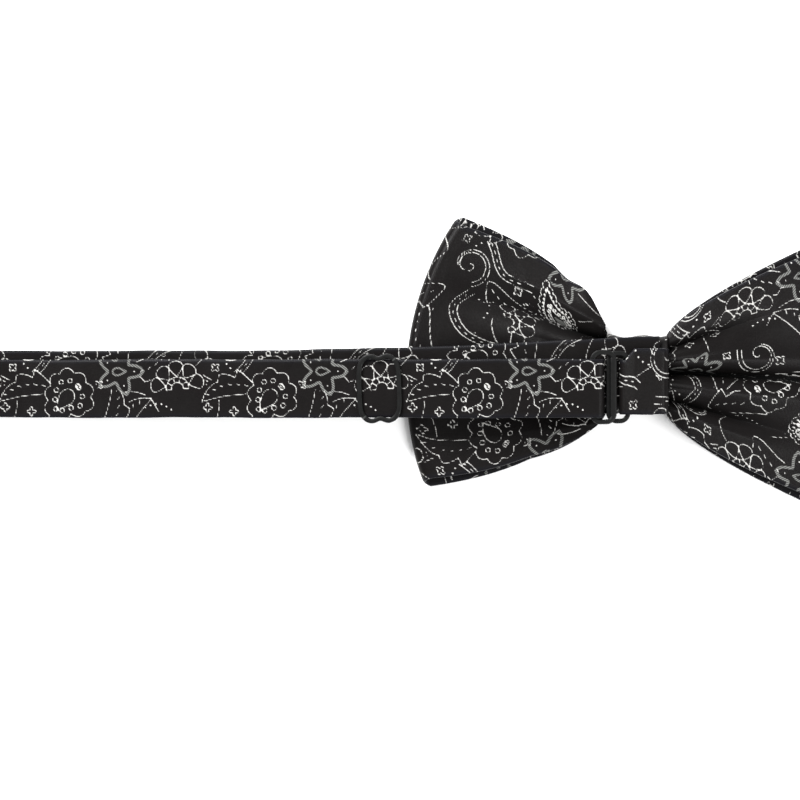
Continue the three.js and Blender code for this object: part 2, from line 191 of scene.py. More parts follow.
def scroll(centre, radius, start, turns):   # a spiral that opens evenly from its eye
    t = np.linspace(0.06, 1, int(26 * abs(turns)) + 8)
    return polar(centre, radius * t, start + 360 * turns * t)


def star(centre, size, turn=0.0):   # a small flower of four points
    t = np.linspace(0, 360, 33)
    r = size * (0.42 + 0.58 * np.abs(np.cos(np.radians(2 * t))) ** 1.6)
    return polar(centre, r, t + turn)


def dots(path, step):   # evenly spaced points along a curve
    run = alongPath(path)
    at = np.arange(0, run[-1], step)
    return np.stack([np.interp(at, run, path[:, k]) for k in (0, 1)], 1)


def besides(path, away):   # the curve that runs beside a path
    step = np.gradient(path, axis=0)
    side = np.stack([-step[:, 1], step[:, 0]], 1)
    return path + away * side / np.maximum(np.linalg.norm(side, axis=1, keepdims=True), 1e-6)


def tendril(path, away):   # two lines side by side with short strokes between them
    between = dots(path, 2.1)[1:-1]
    along = np.gradient(between, axis=0)
    along /= np.linalg.norm(along, axis=1, keepdims=True)
    strokes = [np.array([p - 0.45 * d, p + 0.45 * d]) for p, d in zip(between, along)]
    return [besides(path, away), besides(path, -away)] + strokes


def longLeaf(centre, length, width, turn, flip=False):   # a pointed leaf with three great teeth
    t = np.linspace(0, 1, 61)
    arch = 0.16 * length * np.sin(np.pi * t * 0.9)
    full = np.sin(np.pi * t ** 0.75) ** 0.8 * width
    saw = 0.62 + 0.50 * (t * 3.2 % 1.0)
    outer = np.stack([t * length - 0.10 * length * (t * 3.2 % 1.0) * (1 - t), arch + full * saw], 1)
    inner = np.stack([t * length, arch - full * 0.55], 1)
    middle = np.stack([t * length, arch + full * 0.12], 1)
    strokes = [np.array([p, p + (0.9, 0.55)]) for p in dots(middle[8:52], 2.2)]
    return [placed(q, centre, turn, 1.0, flip) for q in [outer, inner] + strokes]


def fan(centre, radius, turn, petals, sweep):   # round petals standing on two arcs with bars between
    found = []
    wide = 2 * np.pi * radius * 0.80 * sweep / 360 / petals
    for k in range(petals):
        a = turn + sweep * ((k + 0.5) / petals - 0.5)
        petal = closed(drop(radius * 0.56, wide, 0.0, 0.0, 1.0, 18))
        found.append(placed(np.stack([radius - petal[:, 0], petal[:, 1]], 1), centre, a))
    spread = np.linspace(-sweep / 2, sweep / 2, 24) + turn
    found += [polar(centre, radius * r, spread) for r in (0.22, 0.42)]
    for a in np.linspace(-sweep / 2, sweep / 2, petals + 1) + turn:
        found.append(polar(centre, radius * np.array([0.22, 0.42]), np.array([a, a])))
    return found


def pointedFlower(centre, radius, points, turn):   # an outline of pointed petals
    t = np.linspace(0, 360, 24 * points + 1)
    petal = np.abs(np.sin(np.radians(points * t / 2)))
    return polar(centre, radius * (1 - 0.42 * petal ** 2.2 - 0.10 * petal ** 0.5), t + turn)


def cloud(centre, turn, size):   # a lobed outline with ovals round a drop
    found = [scallop(closed(drop(13.5, 12.0, 0.35)), 10, 1.1), closed(drop(13.5, 4.0, 0.35, 0.30, 0.78))]
    for p in dots(drop(13.5, 8.0, 0.35, 0.16, 0.80), 2.5):
        found.append(polar(p, 0.62, np.linspace(0, 360, 13)))
    curves = [placed(q, centre, turn, size) for q in found]
    spine = placed(np.array([(4.6, 0.0), (7.0, 0.3), (10.5, 1.8)]), centre, turn, size)
    return (spine, size * np.array([6.6, 5.6, 2.6])), curves


def paisley(centre, turn, size, flip=False):   # the large drop with everything that fills it
    thin, wide = [], []

    def put(p):
        return placed(p, centre, turn, size, flip)

    outer = closed(drop(21.5, 15.5, 0.62))
    thin.append((put(scallop(outer, 21, 0.85)), None))
    thin.append((put(closed(drop(21.5, 11.6, 0.62, 0.09, 0.90))), None))
    thin.append((put(closed(drop(21.5, 5.4, 0.62, 0.20, 0.66))), None))
    seed = np.stack([np.linspace(6.4, 10.6, 9), 0.05 * np.linspace(0, 3, 9) ** 2], 1)
    wide.append((put(seed), np.linspace(1.15, 0.15, 9)))
    for p in dots(drop(21.5, 13.6, 0.62, 0.045, 0.92), 1.75):
        thin.append((put(np.array([p, p])), np.full(2, 0.27)))
    for p in dots(drop(21.5, 8.4, 0.62, 0.14, 0.72), 2.3):
        thin.append((put(polar(p, 0.62, np.linspace(0, 360, 13))), np.full(13, 0.16)))
    spine = np.linspace(0.36, 0.97, 14)
    axis = np.stack([spine * 21.5, 0.62 * 21.5 * (spine - 0.3).clip(0) ** 2 * 1.6], 1)
    cleared = 8.4 * size * (1 - ((spine - 0.36) / 0.64).clip(0) ** 1.35) + 0.6
    return (put(axis), cleared), thin, wide


def makeMotif():   # one repeat in layers: (cleared ground or None, thin lines, hatched bands)
    ground = [(None, [], [])]
    thin = ground[0][1]

    def line(*curves):
        thin.extend((c, None) for c in curves)

    def layer(cleared, *curves):
        ground.append((cleared, [(c, None) for c in curves], []))

    # vines
    line(smooth([(22, 22), (15, 25), (10, 25), (4, 22), (-3, 25)]),
         smooth([(50, 27), (53, 33), (58, 38), (57, 46)]),
         smooth([(30, 36), (31, 43), (27, 47), (24, 52)]),
         smooth([(40, 27), (36, 23), (29, 21), (27, 15), (29, 9)]),
         smooth([(23, 50), (27, 55), (25, 61), (28, 66)]),
         smooth([(4, 34), (2, 40), (6, 45), (12, 44), (15, 40)]),
         smooth([(46, 4), (42, 9), (44, 16), (49, 19)]),
         smooth([(14, 58), (8, 60), (4, 57), (-2, 60), (-6, 57)]))
    # small flowers of four points
    for x, y, r in ((18.5, 21, 0), (41.5, 33, 45), (48.5, 23.5, 0), (12.5, 30.5, 45), (53, 47, 45),
                    (1.5, 17, 45), (28, 41, 0), (46.5, 60, 45), (9, 61, 0), (30, 51.5, 45),
                    (38, 15, 45), (23, 3.5, 45), (3, 30, 0), (35, 40, 0), (25.5, 33, 45)):
        line(star((x, y), 1.25, r))
    # rows of small dots
    for path, step in ((smooth([(10, 40.5), (15, 42), (19, 40)]), 1.5),
                       (smooth([(27, 22), (33, 19.5), (38, 22)]), 1.5),
                       (smooth([(33, 52.5), (36, 49), (38, 45)]), 1.5),
                       (smooth([(50, 25), (54, 27), (56, 32)]), 1.6),
                       (smooth([(38, 4), (41, 6), (40, 10)]), 1.5),
                       (smooth([(16, 62), (21, 65), (27, 66)]), 1.5),
                       (smooth([(6, 24), (5, 28), (8, 31)]), 1.5)):
        for p in dots(path, step):
            thin.append((np.array([p, p]), np.full(2, 0.27)))
    # double lines with strokes between
    for path in (smooth([(0, 21), (6, 25), (13, 26), (20, 23.5), (25, 27)]),
                 smooth([(24, 50), (31, 47), (37, 51), (42, 57), (50, 58)]),
                 smooth([(36, 2), (33, 8), (36, 14), (42, 17), (50, 18)])):
        layer((path, np.full(len(path), 1.0)), *tendril(path, 0.85))
    # scrolls
    for centre, radius, start, turns in (((17.5, 32.5), 4.4, 200, 1.5), ((47, 27.5), 4.4, 20, -1.5),
                                         ((51, 2.5), 4.4, 150, -1.5), ((33.5, 57.5), 4.6, 250, 1.5)):
        curve = scroll(centre, radius, start, turns)
        beside = scroll(centre, radius + 1.1, start, turns)[-26:]
        layer((curve[-14:], np.full(14, 0.9)), curve, beside)
    # long leaves
    for centre, length, width, turn, flip in (
            ((27, 8), 17, 4.2, 70, False), ((41, 46), 15, 4.0, 196, True), ((3, 31), 16, 4.2, 48, False),
            ((30, 3), 15, 4.0, 176, True), ((54, 33), 15, 4.0, 82, True), ((18, 56), 15, 4.0, 196, False),
            ((39, 60), 14, 3.8, 20, False)):
        t = np.linspace(0.05, 0.95, 12)
        spine = placed(np.stack([t * length, 0.16 * length * np.sin(np.pi * t * 0.9) + 0.1 * width], 1),
                       centre, turn, 1, flip)
        layer((spine, width * 0.8 * np.sin(np.pi * t ** 0.75) ** 0.8),
              *longLeaf(centre, length, width, turn, flip))
    # fans
    for centre, radius, turn, petals, sweep in (((20, 46), 7.2, 95, 5, 190), ((45.5, 10), 7.0, -20, 5, 190),
                                                ((12.5, 17), 5.2, 160, 5, 180)):
        spot = polar(centre, radius * 0.5, turn + sweep * np.linspace(-0.42, 0.42, 10))
        layer((spot, np.full(10, radius * 0.52)), *fan(centre, radius, turn, petals, sweep))
    # pointed flowers, outlined by hatched bands
    for centre, radius, points, turn in (((33.5, 29.5), 6.8, 7, 10), ((4.5, 50.5), 6.4, 5, 0)):
        outline = pointedFlower(centre, radius, points, turn)
        tips = [polar(centre, radius * 0.62, np.full(2, turn + 360 * k / points)) for k in range(points)]
        heart = closed(drop(3.6, 2.0, 0.0, 0.0, 1.0, 12)) - (1.8, 0)
        ground.append(((np.array([centre, centre]), np.full(2, radius * 0.74)),
                       [(p, np.full(2, 0.24)) for p in tips],
                       [(outline, np.full(len(outline), 0.36)),
                        (placed(heart, centre, turn), np.full(len(heart), 0.25))]))
    # clouds and paisleys on top
    for centre, turn, size in (((49.5, 47.5), 215, 1.0), ((19.5, 9.5), 150, 0.95)):
        cleared, curves = cloud(centre, turn, size)
        layer(cleared, *curves)
    ground.append(paisley((9, 3), 200, 0.62, False))
    return ground


def stamp(field, strokes):   # lowers the field to the distance from each stroke less its half width
    cell, reach = clothRepeat["cell"], clothRepeat["reach"]
    nx, ny = field.shape
    for points, halves in strokes:
        halves = np.full(len(points), clothRepeat["lineHalf"]) if halves is None else halves
        for a, b, ra, rb in zip(points[:-1], points[1:], halves[:-1], halves[1:]):
            low = np.floor((np.minimum(a, b) - reach - max(ra, rb)) / cell).astype(int)
            high = np.ceil((np.maximum(a, b) + reach + max(ra, rb)) / cell).astype(int)
            ix, iy = np.arange(low[0], high[0] + 1), np.arange(low[1], high[1] + 1)
            px, py = np.meshgrid(ix * cell - a[0], iy * cell - a[1], indexing="ij")
            dx, dy = b - a
            t = np.clip((px * dx + py * dy) / max(dx * dx + dy * dy, 1e-9), 0, 1)
            away = np.hypot(px - t * dx, py - t * dy) - (ra + (rb - ra) * t)
            spot = np.ix_(ix % nx, iy % ny)
            field[spot] = np.minimum(field[spot], away)


def weaveFields():   # the two wrapped distance fields of a repeat: thin lines and hatched bands
    size = tuple(round(clothRepeat[k] / clothRepeat["cell"]) for k in ("width", "height"))
    lines, bands = np.full(size, clothRepeat["reach"]), np.full(size, clothRepeat["reach"])
    for cleared, thin, wide in makeMotif():
        if cleared is not None:
            ground = np.full(size, clothRepeat["reach"])
            stamp(ground, [cleared])
            lines, bands = (np.maximum(f, 0.3 - ground) for f in (lines, bands))
        stamp(lines, thin)
        stamp(bands, wide)
    return lines, bands


lineField, bandField = weaveFields()


def readField(field, x, y):   # the field at cloth places in millimetres, between its grid points
    cell = clothRepeat["cell"]
    gx, gy = x / cell, y / cell
    ix, iy = np.floor(gx).astype(int), np.floor(gy).astype(int)
    fx, fy = gx - ix, gy - iy
    nx, ny = field.shape
    at = lambda a, b: field[a % nx, b % ny]
    return ((at(ix, iy) * (1 - fx) + at(ix + 1, iy) * fx) * (1 - fy)
            + (at(ix, iy + 1) * (1 - fx) + at(ix + 1, iy + 1) * fx) * fy)


print("stage: materials")


def newMaterial(name):
    material = bpy.data.materials.new(name)
    material.use_nodes = True
    tree = material.node_tree
    return material, tree, tree.nodes["Principled BSDF"]


def addNode(tree, kind, settings=None, **inputs):   # adds a node, its settings and its inputs
    node = tree.nodes.new(kind)
    for key, value in (settings or {}).items():
        setattr(node, key, value)
    for key, value in inputs.items():
        spot = node.inputs[int(key[1:])] if key[0] == "i" and key[1:].isdigit() else node.inputs[key]
        if isinstance(value, bpy.types.NodeSocket):
            tree.links.new(value, spot)
        else:
            spot.default_value = value
    return node


def maths(tree, operation, *values):
    node = tree.nodes.new("ShaderNodeMath")
    node.operation = operation
    for spot, value in zip(node.inputs, values):
        if isinstance(value, bpy.types.NodeSocket):
            tree.links.new(value, spot)
        else:
            spot.default_value = value
    return node.outputs[0]


def mixColours(tree, share, first, second):   # from the first colour to the second as share rises
    return addNode(tree, "ShaderNodeMix", {"data_type": "RGBA"}, i0=share, i6=first, i7=second).outputs[2]


def rangeNode(tree, value, start, end, settings=None):   # 0 at start and 1 at end
    node = addNode(tree, "ShaderNodeMapRange", settings, Value=value)
    node.inputs["From Min"].default_value = start
    node.inputs["From Max"].default_value = end
    return node


def newGroup(name, takes, gives):   # a shader group with named inputs and outputs
    group = bpy.data.node_groups.new(name, "ShaderNodeTree")
    for label, kind, value in takes:
        socket = group.interface.new_socket(label, in_out="INPUT", socket_type=kind)
        if value is not None:
            socket.default_value = value
    for label, kind in gives:
        group.interface.new_socket(label, in_out="OUTPUT", socket_type=kind)
    return group, group.nodes.new("NodeGroupInput"), group.nodes.new("NodeGroupOutput")


weaveLook = {
    "slant": 0.5,                 # the floats' slope
    "cross": 0.22,                # share of the cross threads in the height
    "threads": (0.6, 4.5),        # spacing of uneven threads along and across, per mm
    "drift": 0.12,                # scale of the slow change of shade, per mm
}


def makeWeaveGroup():   # satin weave: fine slanted floats, uneven threads and a slow drift of shade
    group, put, out = newGroup("satinWeave", (("Cloth", "NodeSocketVector", None),
                                              ("Pitch", "NodeSocketFloat", 3.2)),
                               (("Height", "NodeSocketFloat"), ("Thread", "NodeSocketFloat"),
                                ("Drift", "NodeSocketFloat")))
    split = addNode(group, "ShaderNodeSeparateXYZ", Vector=put.outputs["Cloth"])
    x, y = split.outputs[0], split.outputs[1]
    slant = maths(group, "ADD", maths(group, "MULTIPLY", x, weaveLook["slant"]), y)

    def wave(along):   # a sine with the given pitch, in waves per mm
        turns = maths(group, "MULTIPLY", along, put.outputs["Pitch"])
        return maths(group, "SINE", maths(group, "MULTIPLY", turns, 2 * np.pi))

    alongThreads, acrossThreads = weaveLook["threads"]
    stretched = addNode(group, "ShaderNodeCombineXYZ", X=maths(group, "MULTIPLY", x, alongThreads),
                        Y=maths(group, "MULTIPLY", y, acrossThreads), Z=0.0)
    threads = addNode(group, "ShaderNodeTexNoise", Vector=stretched.outputs[0], Scale=1.0, Detail=2.0)
    slow = addNode(group, "ShaderNodeTexNoise", Vector=put.outputs["Cloth"], Scale=weaveLook["drift"],
                   Detail=3.0)
    height = maths(group, "ADD", maths(group, "MULTIPLY", wave(slant), 0.5),
                   maths(group, "MULTIPLY", wave(x), weaveLook["cross"]))
    group.links.new(height, out.inputs["Height"])
    group.links.new(threads.outputs["Fac"], out.inputs["Thread"])
    group.links.new(slow.outputs["Fac"], out.inputs["Drift"])
    return group


figureLook = {
    "jagScale": 3.6,              # size of the steps at a line's edge, per mm
    "jag": 0.20,                  # and how far they reach, mm
    "lineEdge": (0.04, -0.06),    # distances where a line begins and where it is full, mm
    "bandEdge": (0.05, -0.05),
    "rungSlope": 1.3,
    "rungPitch": 8.2,
    "rungs": (0.55, 0.45),        # mean and swing of the hatching
}


def makeFigureGroup():   # masks of the figure: thin lines and hatched bands, with stitched edges
    group, put, out = newGroup("wovenFigure", (("Cloth", "NodeSocketVector", None),
                                               ("Line", "NodeSocketFloat", 1.0),
                                               ("Band", "NodeSocketFloat", 1.0)),
                               (("Lines", "NodeSocketFloat"), ("Bands", "NodeSocketFloat")))
    look = figureLook
    jag = addNode(group, "ShaderNodeTexNoise", Vector=put.outputs["Cloth"], Scale=look["jagScale"],
                  Detail=1.0)
    step = maths(group, "MULTIPLY", maths(group, "SUBTRACT", jag.outputs["Fac"], 0.5), look["jag"])
    line = maths(group, "ADD", put.outputs["Line"], step)
    lines = rangeNode(group, line, *look["lineEdge"], {"interpolation_type": "SMOOTHSTEP"})
    split = addNode(group, "ShaderNodeSeparateXYZ", Vector=put.outputs["Cloth"])
    slanted = maths(group, "ADD", split.outputs[0],
                    maths(group, "MULTIPLY", split.outputs[1], look["rungSlope"]))
    ladder = maths(group, "SINE", maths(group, "MULTIPLY", slanted, look["rungPitch"]))
    rungs = maths(group, "ADD", look["rungs"][0], maths(group, "MULTIPLY", ladder, look["rungs"][1]))
    inside = rangeNode(group, maths(group, "ADD", put.outputs["Band"], step), *look["bandEdge"])
    bands = maths(group, "MULTIPLY", inside.outputs[0], rungs)
    group.links.new(lines.outputs[0], out.inputs["Lines"])
    group.links.new(bands, out.inputs["Bands"])
    return group


weaveGroup = makeWeaveGroup()
figureGroup = makeFigureGroup()

satin = {
    "ground": (0.0026, 0.0023, 0.0024, 1),     # black warp floats
    "groundPale": (0.0062, 0.0054, 0.0052, 1),
    "line": (0.40, 0.395, 0.38, 1),             # silver weft
    "band": (0.15, 0.152, 0.145, 1),
    # painted sheen: a paler bluish colour for the folded edges
    "edge": (0.0054, 0.0054, 0.0070, 1),
    "roughness": 0.30,
    "lineRoughness": 0.62,
    "specular": 0.06,
    "paintedPleatShade": 0.95,            # painted shade: how far the colour at the bottom of a deep pleat is darkened
    "foldRoughness": 0.5,         # and how much duller it is
    "bump": 0.00007,
    "lineShare": (0.62, 0.75),    # how full a line is, and how much its threads change that
    "driftRoughness": 0.25,
    "relief": (0.3, 0.8, 0.5),    # heights of the weave, the lines and the hatched bands
}


def makeSatin():   # black satin with a silver woven figure that follows the cloth
    material, tree, shader = newMaterial("satinJacquard")
    cloth = addNode(tree, "ShaderNodeUVMap", {"uv_map": "cloth"})
    line = addNode(tree, "ShaderNodeAttribute", {"attribute_name": "line"})
    band = addNode(tree, "ShaderNodeAttribute", {"attribute_name": "band"})
    weave = addNode(tree, "ShaderNodeGroup", {"node_tree": weaveGroup}, Cloth=cloth.outputs[0])
    figure = addNode(tree, "ShaderNodeGroup", {"node_tree": figureGroup}, Cloth=cloth.outputs[0],
                     Line=line.outputs["Fac"], Band=band.outputs["Fac"])
    ground = mixColours(tree, weave.outputs["Thread"], satin["ground"], satin["groundPale"])
    # painted sheen: the edge mark lightens folded edges to a pale bluish colour
    edge = addNode(tree, "ShaderNodeAttribute", {"attribute_name": "edge"})
    edgeSheened = mixColours(tree, edge.outputs["Fac"], ground, satin["edge"])
    banded = mixColours(tree, figure.outputs["Bands"], edgeSheened, satin["band"])
    uneven = maths(tree, "MULTIPLY", figure.outputs["Lines"],
                   maths(tree, "ADD", satin["lineShare"][0],
                         maths(tree, "MULTIPLY", weave.outputs["Thread"], satin["lineShare"][1])))
    lined = mixColours(tree, uneven, banded, satin["line"])
    # painted shade: the fold mark darkens the colour deep in pleats, where shade falls, and dulls it there
    fold = addNode(tree, "ShaderNodeAttribute", {"attribute_name": "fold"})
    kept = maths(tree, "SUBTRACT", 1.0, maths(tree, "MULTIPLY", fold.outputs["Fac"], satin["paintedPleatShade"]))
    tree.links.new(mixColours(tree, kept, (0, 0, 0, 1), lined), shader.inputs["Base Color"])
    shader.inputs["Specular IOR Level"].default_value = satin["specular"]
    rough = addNode(tree, "ShaderNodeMix", {"data_type": "FLOAT"}, i0=figure.outputs["Lines"],
                    i2=satin["roughness"], i3=satin["lineRoughness"])
    shade = maths(tree, "ADD", rough.outputs[0],
                  maths(tree, "MULTIPLY", maths(tree, "SUBTRACT", weave.outputs["Drift"], 0.5),
                        satin["driftRoughness"]))
    dull = maths(tree, "ADD", shade, maths(tree, "MULTIPLY", fold.outputs["Fac"], satin["foldRoughness"]))
    tree.links.new(dull, shader.inputs["Roughness"])
    parts = weave.outputs["Height"], figure.outputs["Lines"], figure.outputs["Bands"]
    woven, lines, bands = (maths(tree, "MULTIPLY", *pair) for pair in zip(parts, satin["relief"]))
    height = maths(tree, "ADD", woven, maths(tree, "ADD", lines, bands))
    bump = addNode(tree, "ShaderNodeBump", Height=height, Distance=satin["bump"], Strength=0.8)
    tree.links.new(bump.outputs[0], shader.inputs["Normal"])
    return material


def makePlainCloth(name, colour, roughness, scale):   # matt woven cloth for the hidden linings
    material, tree, shader = newMaterial(name)
    place = addNode(tree, "ShaderNodeTexCoord")
    weave = addNode(tree, "ShaderNodeTexNoise", Vector=place.outputs["Object"], Scale=scale, Detail=3.0)
    pale = tuple(c * 1.7 for c in colour[:3]) + (1,)
    tree.links.new(mixColours(tree, weave.outputs["Fac"], colour, pale), shader.inputs["Base Color"])
    bump = addNode(tree, "ShaderNodeBump", Height=weave.outputs["Fac"], Distance=0.0001, Strength=0.6)
    tree.links.new(bump.outputs[0], shader.inputs["Normal"])
    shader.inputs["Roughness"].default_value = roughness
    return material


enamel = {
    "dark": (0.0026, 0.0027, 0.0026, 1),
    "pale": (0.0054, 0.0056, 0.0054, 1),
    # painted highlight: a paler colour on sharp edges, where light catches them
    "paintedHighlight": (0.03, 0.031, 0.03, 1),
    "highlightFrom": 0.52,             # pointiness where the painted edge highlight begins and where it is full
    "highlightTo": 0.62,
    "mottleScale": 900.0,
    "roughness": (0.27, 0.18),    # least, and what the mottling adds
    "specular": 0.12,
    "bump": 0.00003,
}


def makeEnamel():   # black enamelled metal: a soft gloss, faint mottling and a pale highlight painted on its sharp edges
    material, tree, shader = newMaterial("blackEnamel")
    place = addNode(tree, "ShaderNodeTexCoord")
    mottle = addNode(tree, "ShaderNodeTexNoise", Vector=place.outputs["Object"],
                     Scale=enamel["mottleScale"], Detail=4.0)
    edge = addNode(tree, "ShaderNodeNewGeometry")
    # painted highlight: sharp edges are made paler by pointiness
    paintedHighlight = rangeNode(tree, edge.outputs["Pointiness"], enamel["highlightFrom"], enamel["highlightTo"])
    dark = mixColours(tree, mottle.outputs["Fac"], enamel["dark"], enamel["pale"])
    tree.links.new(mixColours(tree, paintedHighlight.outputs[0], dark, enamel["paintedHighlight"]), shader.inputs["Base Color"])
    rough = maths(tree, "ADD", enamel["roughness"][0],
                  maths(tree, "MULTIPLY", mottle.outputs["Fac"], enamel["roughness"][1]))
    tree.links.new(rough, shader.inputs["Roughness"])
    shader.inputs["Specular IOR Level"].default_value = enamel["specular"]
    bump = addNode(tree, "ShaderNodeBump", Height=mottle.outputs["Fac"], Distance=enamel["bump"],
                   Strength=0.5)
    tree.links.new(bump.outputs[0], shader.inputs["Normal"])
    return material


satinMaterial = makeSatin()
liningMaterial = makePlainCloth("wovenLining", (0.03, 0.03, 0.031, 1), 0.9, 2500.0)
threadMaterial = makePlainCloth("blackThread", (0.012, 0.012, 0.013, 1), 0.7, 6000.0)
enamelMaterial = makeEnamel()

print("stage: mesh tools")


# makes a mesh object from points in millimetres and a list of face arrays; cloth is each point's
# place on the cloth in millimetres, which also gives it the figure's distances; marks are further
# values at the points: edge is 1 where the cloth is folded at its edge, where a pale sheen is painted,
# and fold is 1 deep in a pleat, where shade is painted
def addPiece(name, points, faces, material, cloth=None, marks=None):
    points = np.asarray(points, np.float32) * mm
    mesh = bpy.data.meshes.new(name)
    mesh.vertices.add(len(points))
    mesh.vertices.foreach_set("co", points.ravel())
    corners = np.concatenate([f.ravel() for f in faces]).astype(np.int32)
    sizes = np.concatenate([np.full(len(f), f.shape[1]) for f in faces])
    mesh.loops.add(len(corners))
    mesh.loops.foreach_set("vertex_index", corners)
    mesh.polygons.add(len(sizes))
    mesh.polygons.foreach_set("loop_start", np.concatenate([[0], np.cumsum(sizes)[:-1]]).astype(np.int32))
    mesh.polygons.foreach_set("use_smooth", np.ones(len(sizes), bool))
    mesh.update(calc_edges=True)
    if cloth is not None:
        layer = mesh.uv_layers.new(name="cloth")
        layer.uv.foreach_set("vector", cloth[corners].astype(np.float32).ravel())
        for label, field in (("line", lineField), ("band", bandField)):
            values = mesh.attributes.new(label, "FLOAT", "POINT")
            values.data.foreach_set("value", readField(field, cloth[:, 0], cloth[:, 1]).astype(np.float32))
    for label, given in (marks or {}).items():
        values = mesh.attributes.new(label, "FLOAT", "POINT")
        values.data.foreach_set("value", given.astype(np.float32))
    mesh.validate()
    mesh.materials.append(material)
    piece = bpy.data.objects.new(name, mesh)
    bpy.context.scene.collection.objects.link(piece)
    return piece


def ringFaces(rows, ring, closedRows=False):   # quads between neighbouring rings of points
    i = np.arange(rows if closedRows else rows - 1)[:, None]
    k = np.arange(ring)[None, :]
    a, b = i * ring + k, i * ring + (k + 1) % ring
    c, d = ((i + 1) % rows) * ring + (k + 1) % ring, ((i + 1) % rows) * ring + k
    return np.stack([a, b, c, d], -1).reshape(-1, 4)


def capFaces(start, ring, centre, turned):   # a fan that closes a ring of points
    k = np.arange(ring)
    a, b = start + k, start + (k + 1) % ring
    middle = np.full(ring, centre)
    return np.stack([b, a, middle] if turned else [a, b, middle], 1)


def surfaceNormals(grid):   # unit normals of a grid of points, from its two directions
    n = np.cross(np.gradient(grid, axis=0), np.gradient(grid, axis=1))
    return n / np.maximum(np.linalg.norm(n, axis=2, keepdims=True), 1e-9)


# one flattened ply of cloth: surface(t, v) is its middle, offset by half its thickness along the
# normal on both sides, thinning to nothing at v = -1 and 1; clothAt(t, v) is the cloth's own place
# and pleatShadeAt(t, v) how deep in a pleat it is, which sets the painted shade there; the outer side
# has the given columns and the inner side only as many as hidden says
def clothPly(name, surface, rows, columns, thickness, clothAt, material, hidden=24, pleatShadeAt=None):
    edge = np.array([0, 0.15, 0.45, 0.8]) / columns * 3   # closer columns at both edges
    border = edge[-1] * 1.6                               # width of the rounded edge, as v
    outer = np.concatenate([-1 + edge, np.linspace(-1 + border, 1 - border, columns), (1 - edge)[::-1]])
    inner = np.concatenate([(1 - edge)[1:], np.linspace(1 - border, -1 + border, hidden),
                            (-1 + edge)[::-1][:-1]])
    sides, places, edgeSheens, folds = [], [], [], []
    for v in (outer, inner):   # the inner side runs back, which turns its normals round
        t, across = np.meshgrid(np.linspace(0, 1, rows), v, indexing="ij")
        middle = surface(t, across)
        out = np.clip((np.abs(across) - 1 + border) / border, 0, 1)
        half = thickness / 2 * np.sqrt(np.maximum(1 - out ** 2, 0))
        sides.append(middle + surfaceNormals(middle) * half[..., None])
        places.append(np.stack(clothAt(t, across), -1))
        # the edge mark: where the painted sheen of a folded edge goes
        edgeSheens.append(np.clip((np.abs(across) - 1 + 2 * border) / (2 * border), 0, 1))
        folds.append(pleatShadeAt(t, across) if pleatShadeAt else np.zeros_like(t))
    grid, cloth, rim, fold = (np.concatenate(part, 1) for part in (sides, places, edgeSheens, folds))
    ring = grid.shape[1]
    points = np.vstack([grid.reshape(-1, 3), grid[0].mean(0), grid[-1].mean(0)])
    cloth = np.vstack([cloth.reshape(-1, 2), cloth[0].mean(0), cloth[-1].mean(0)])
    marks = {"edge": np.append(rim, (0, 0)), "fold": np.append(fold, (0, 0))}
    faces = [ringFaces(rows, ring), capFaces(0, ring, rows * ring, False),
             capFaces((rows - 1) * ring, ring, rows * ring + 1, True)]
    return addPiece(name, points, [f[:, ::-1] for f in faces], material, cloth, marks)


print("stage: wings")
knotLow, knotHigh = boxOf("knot_wrap")
wingLook = {
    "reach": 60.0,                # from the middle of the knot to the outer edge's middle, mm
    "cornerX": 51.6,
    "cornerY": 35.6,
    "waistY": 10.0,               # half the wing's width at the knot
    "ply": 1.1,                   # one side with its interfacing
    "edgeHeight": 3.9,
    "waistHeight": 9.6,
    "backRim": 2.2,               # the back is cut this much smaller, so the edge shows
    "frontLift": 1.6,             # the front rises this much towards the knot
    "backFall": (1.6, 0.35),      # how fast the back falls outwards, and how much to its sides
    "flare": 0.72,                # how fast a wing widens: a power
    "round": 0.92,                # how round its outer edge is: a power
    "leftLean": 7.0,              # degrees that the left wing leans past the knot,
    "leanRun": 0.4,               # reached at this share of its length
    "leftExtra": 0.4,             # the left wing's outer edge reaches this much further,
    "shoulder": 3.7,              # its upper edge swells this much beside the knot,
    "shoulderAt": (0.13, 0.12),   # at this share of its length and over this share,
    "upperSwell": 2.9,            # and this much along its whole length,
    "lowerSwell": 2.1,            # and its lower edge swells this much
    "spacing": 0.34,
    "cutFrom": {-1: (31.0, 20.0), 1: (0.0, 20.0)},   # where each wing lies on the figured cloth
    "easeIn": 1.04,               # cloth taken up along a wing
    "shadeFrom": 0.6,             # a pleat gets painted shade from this depth on,
    "shadeRange": 2.2,            # and fully when it is this much deeper
    "flat": (71.2, 94.0),         # the cut cloth: twice the corner's half height, and its run
}
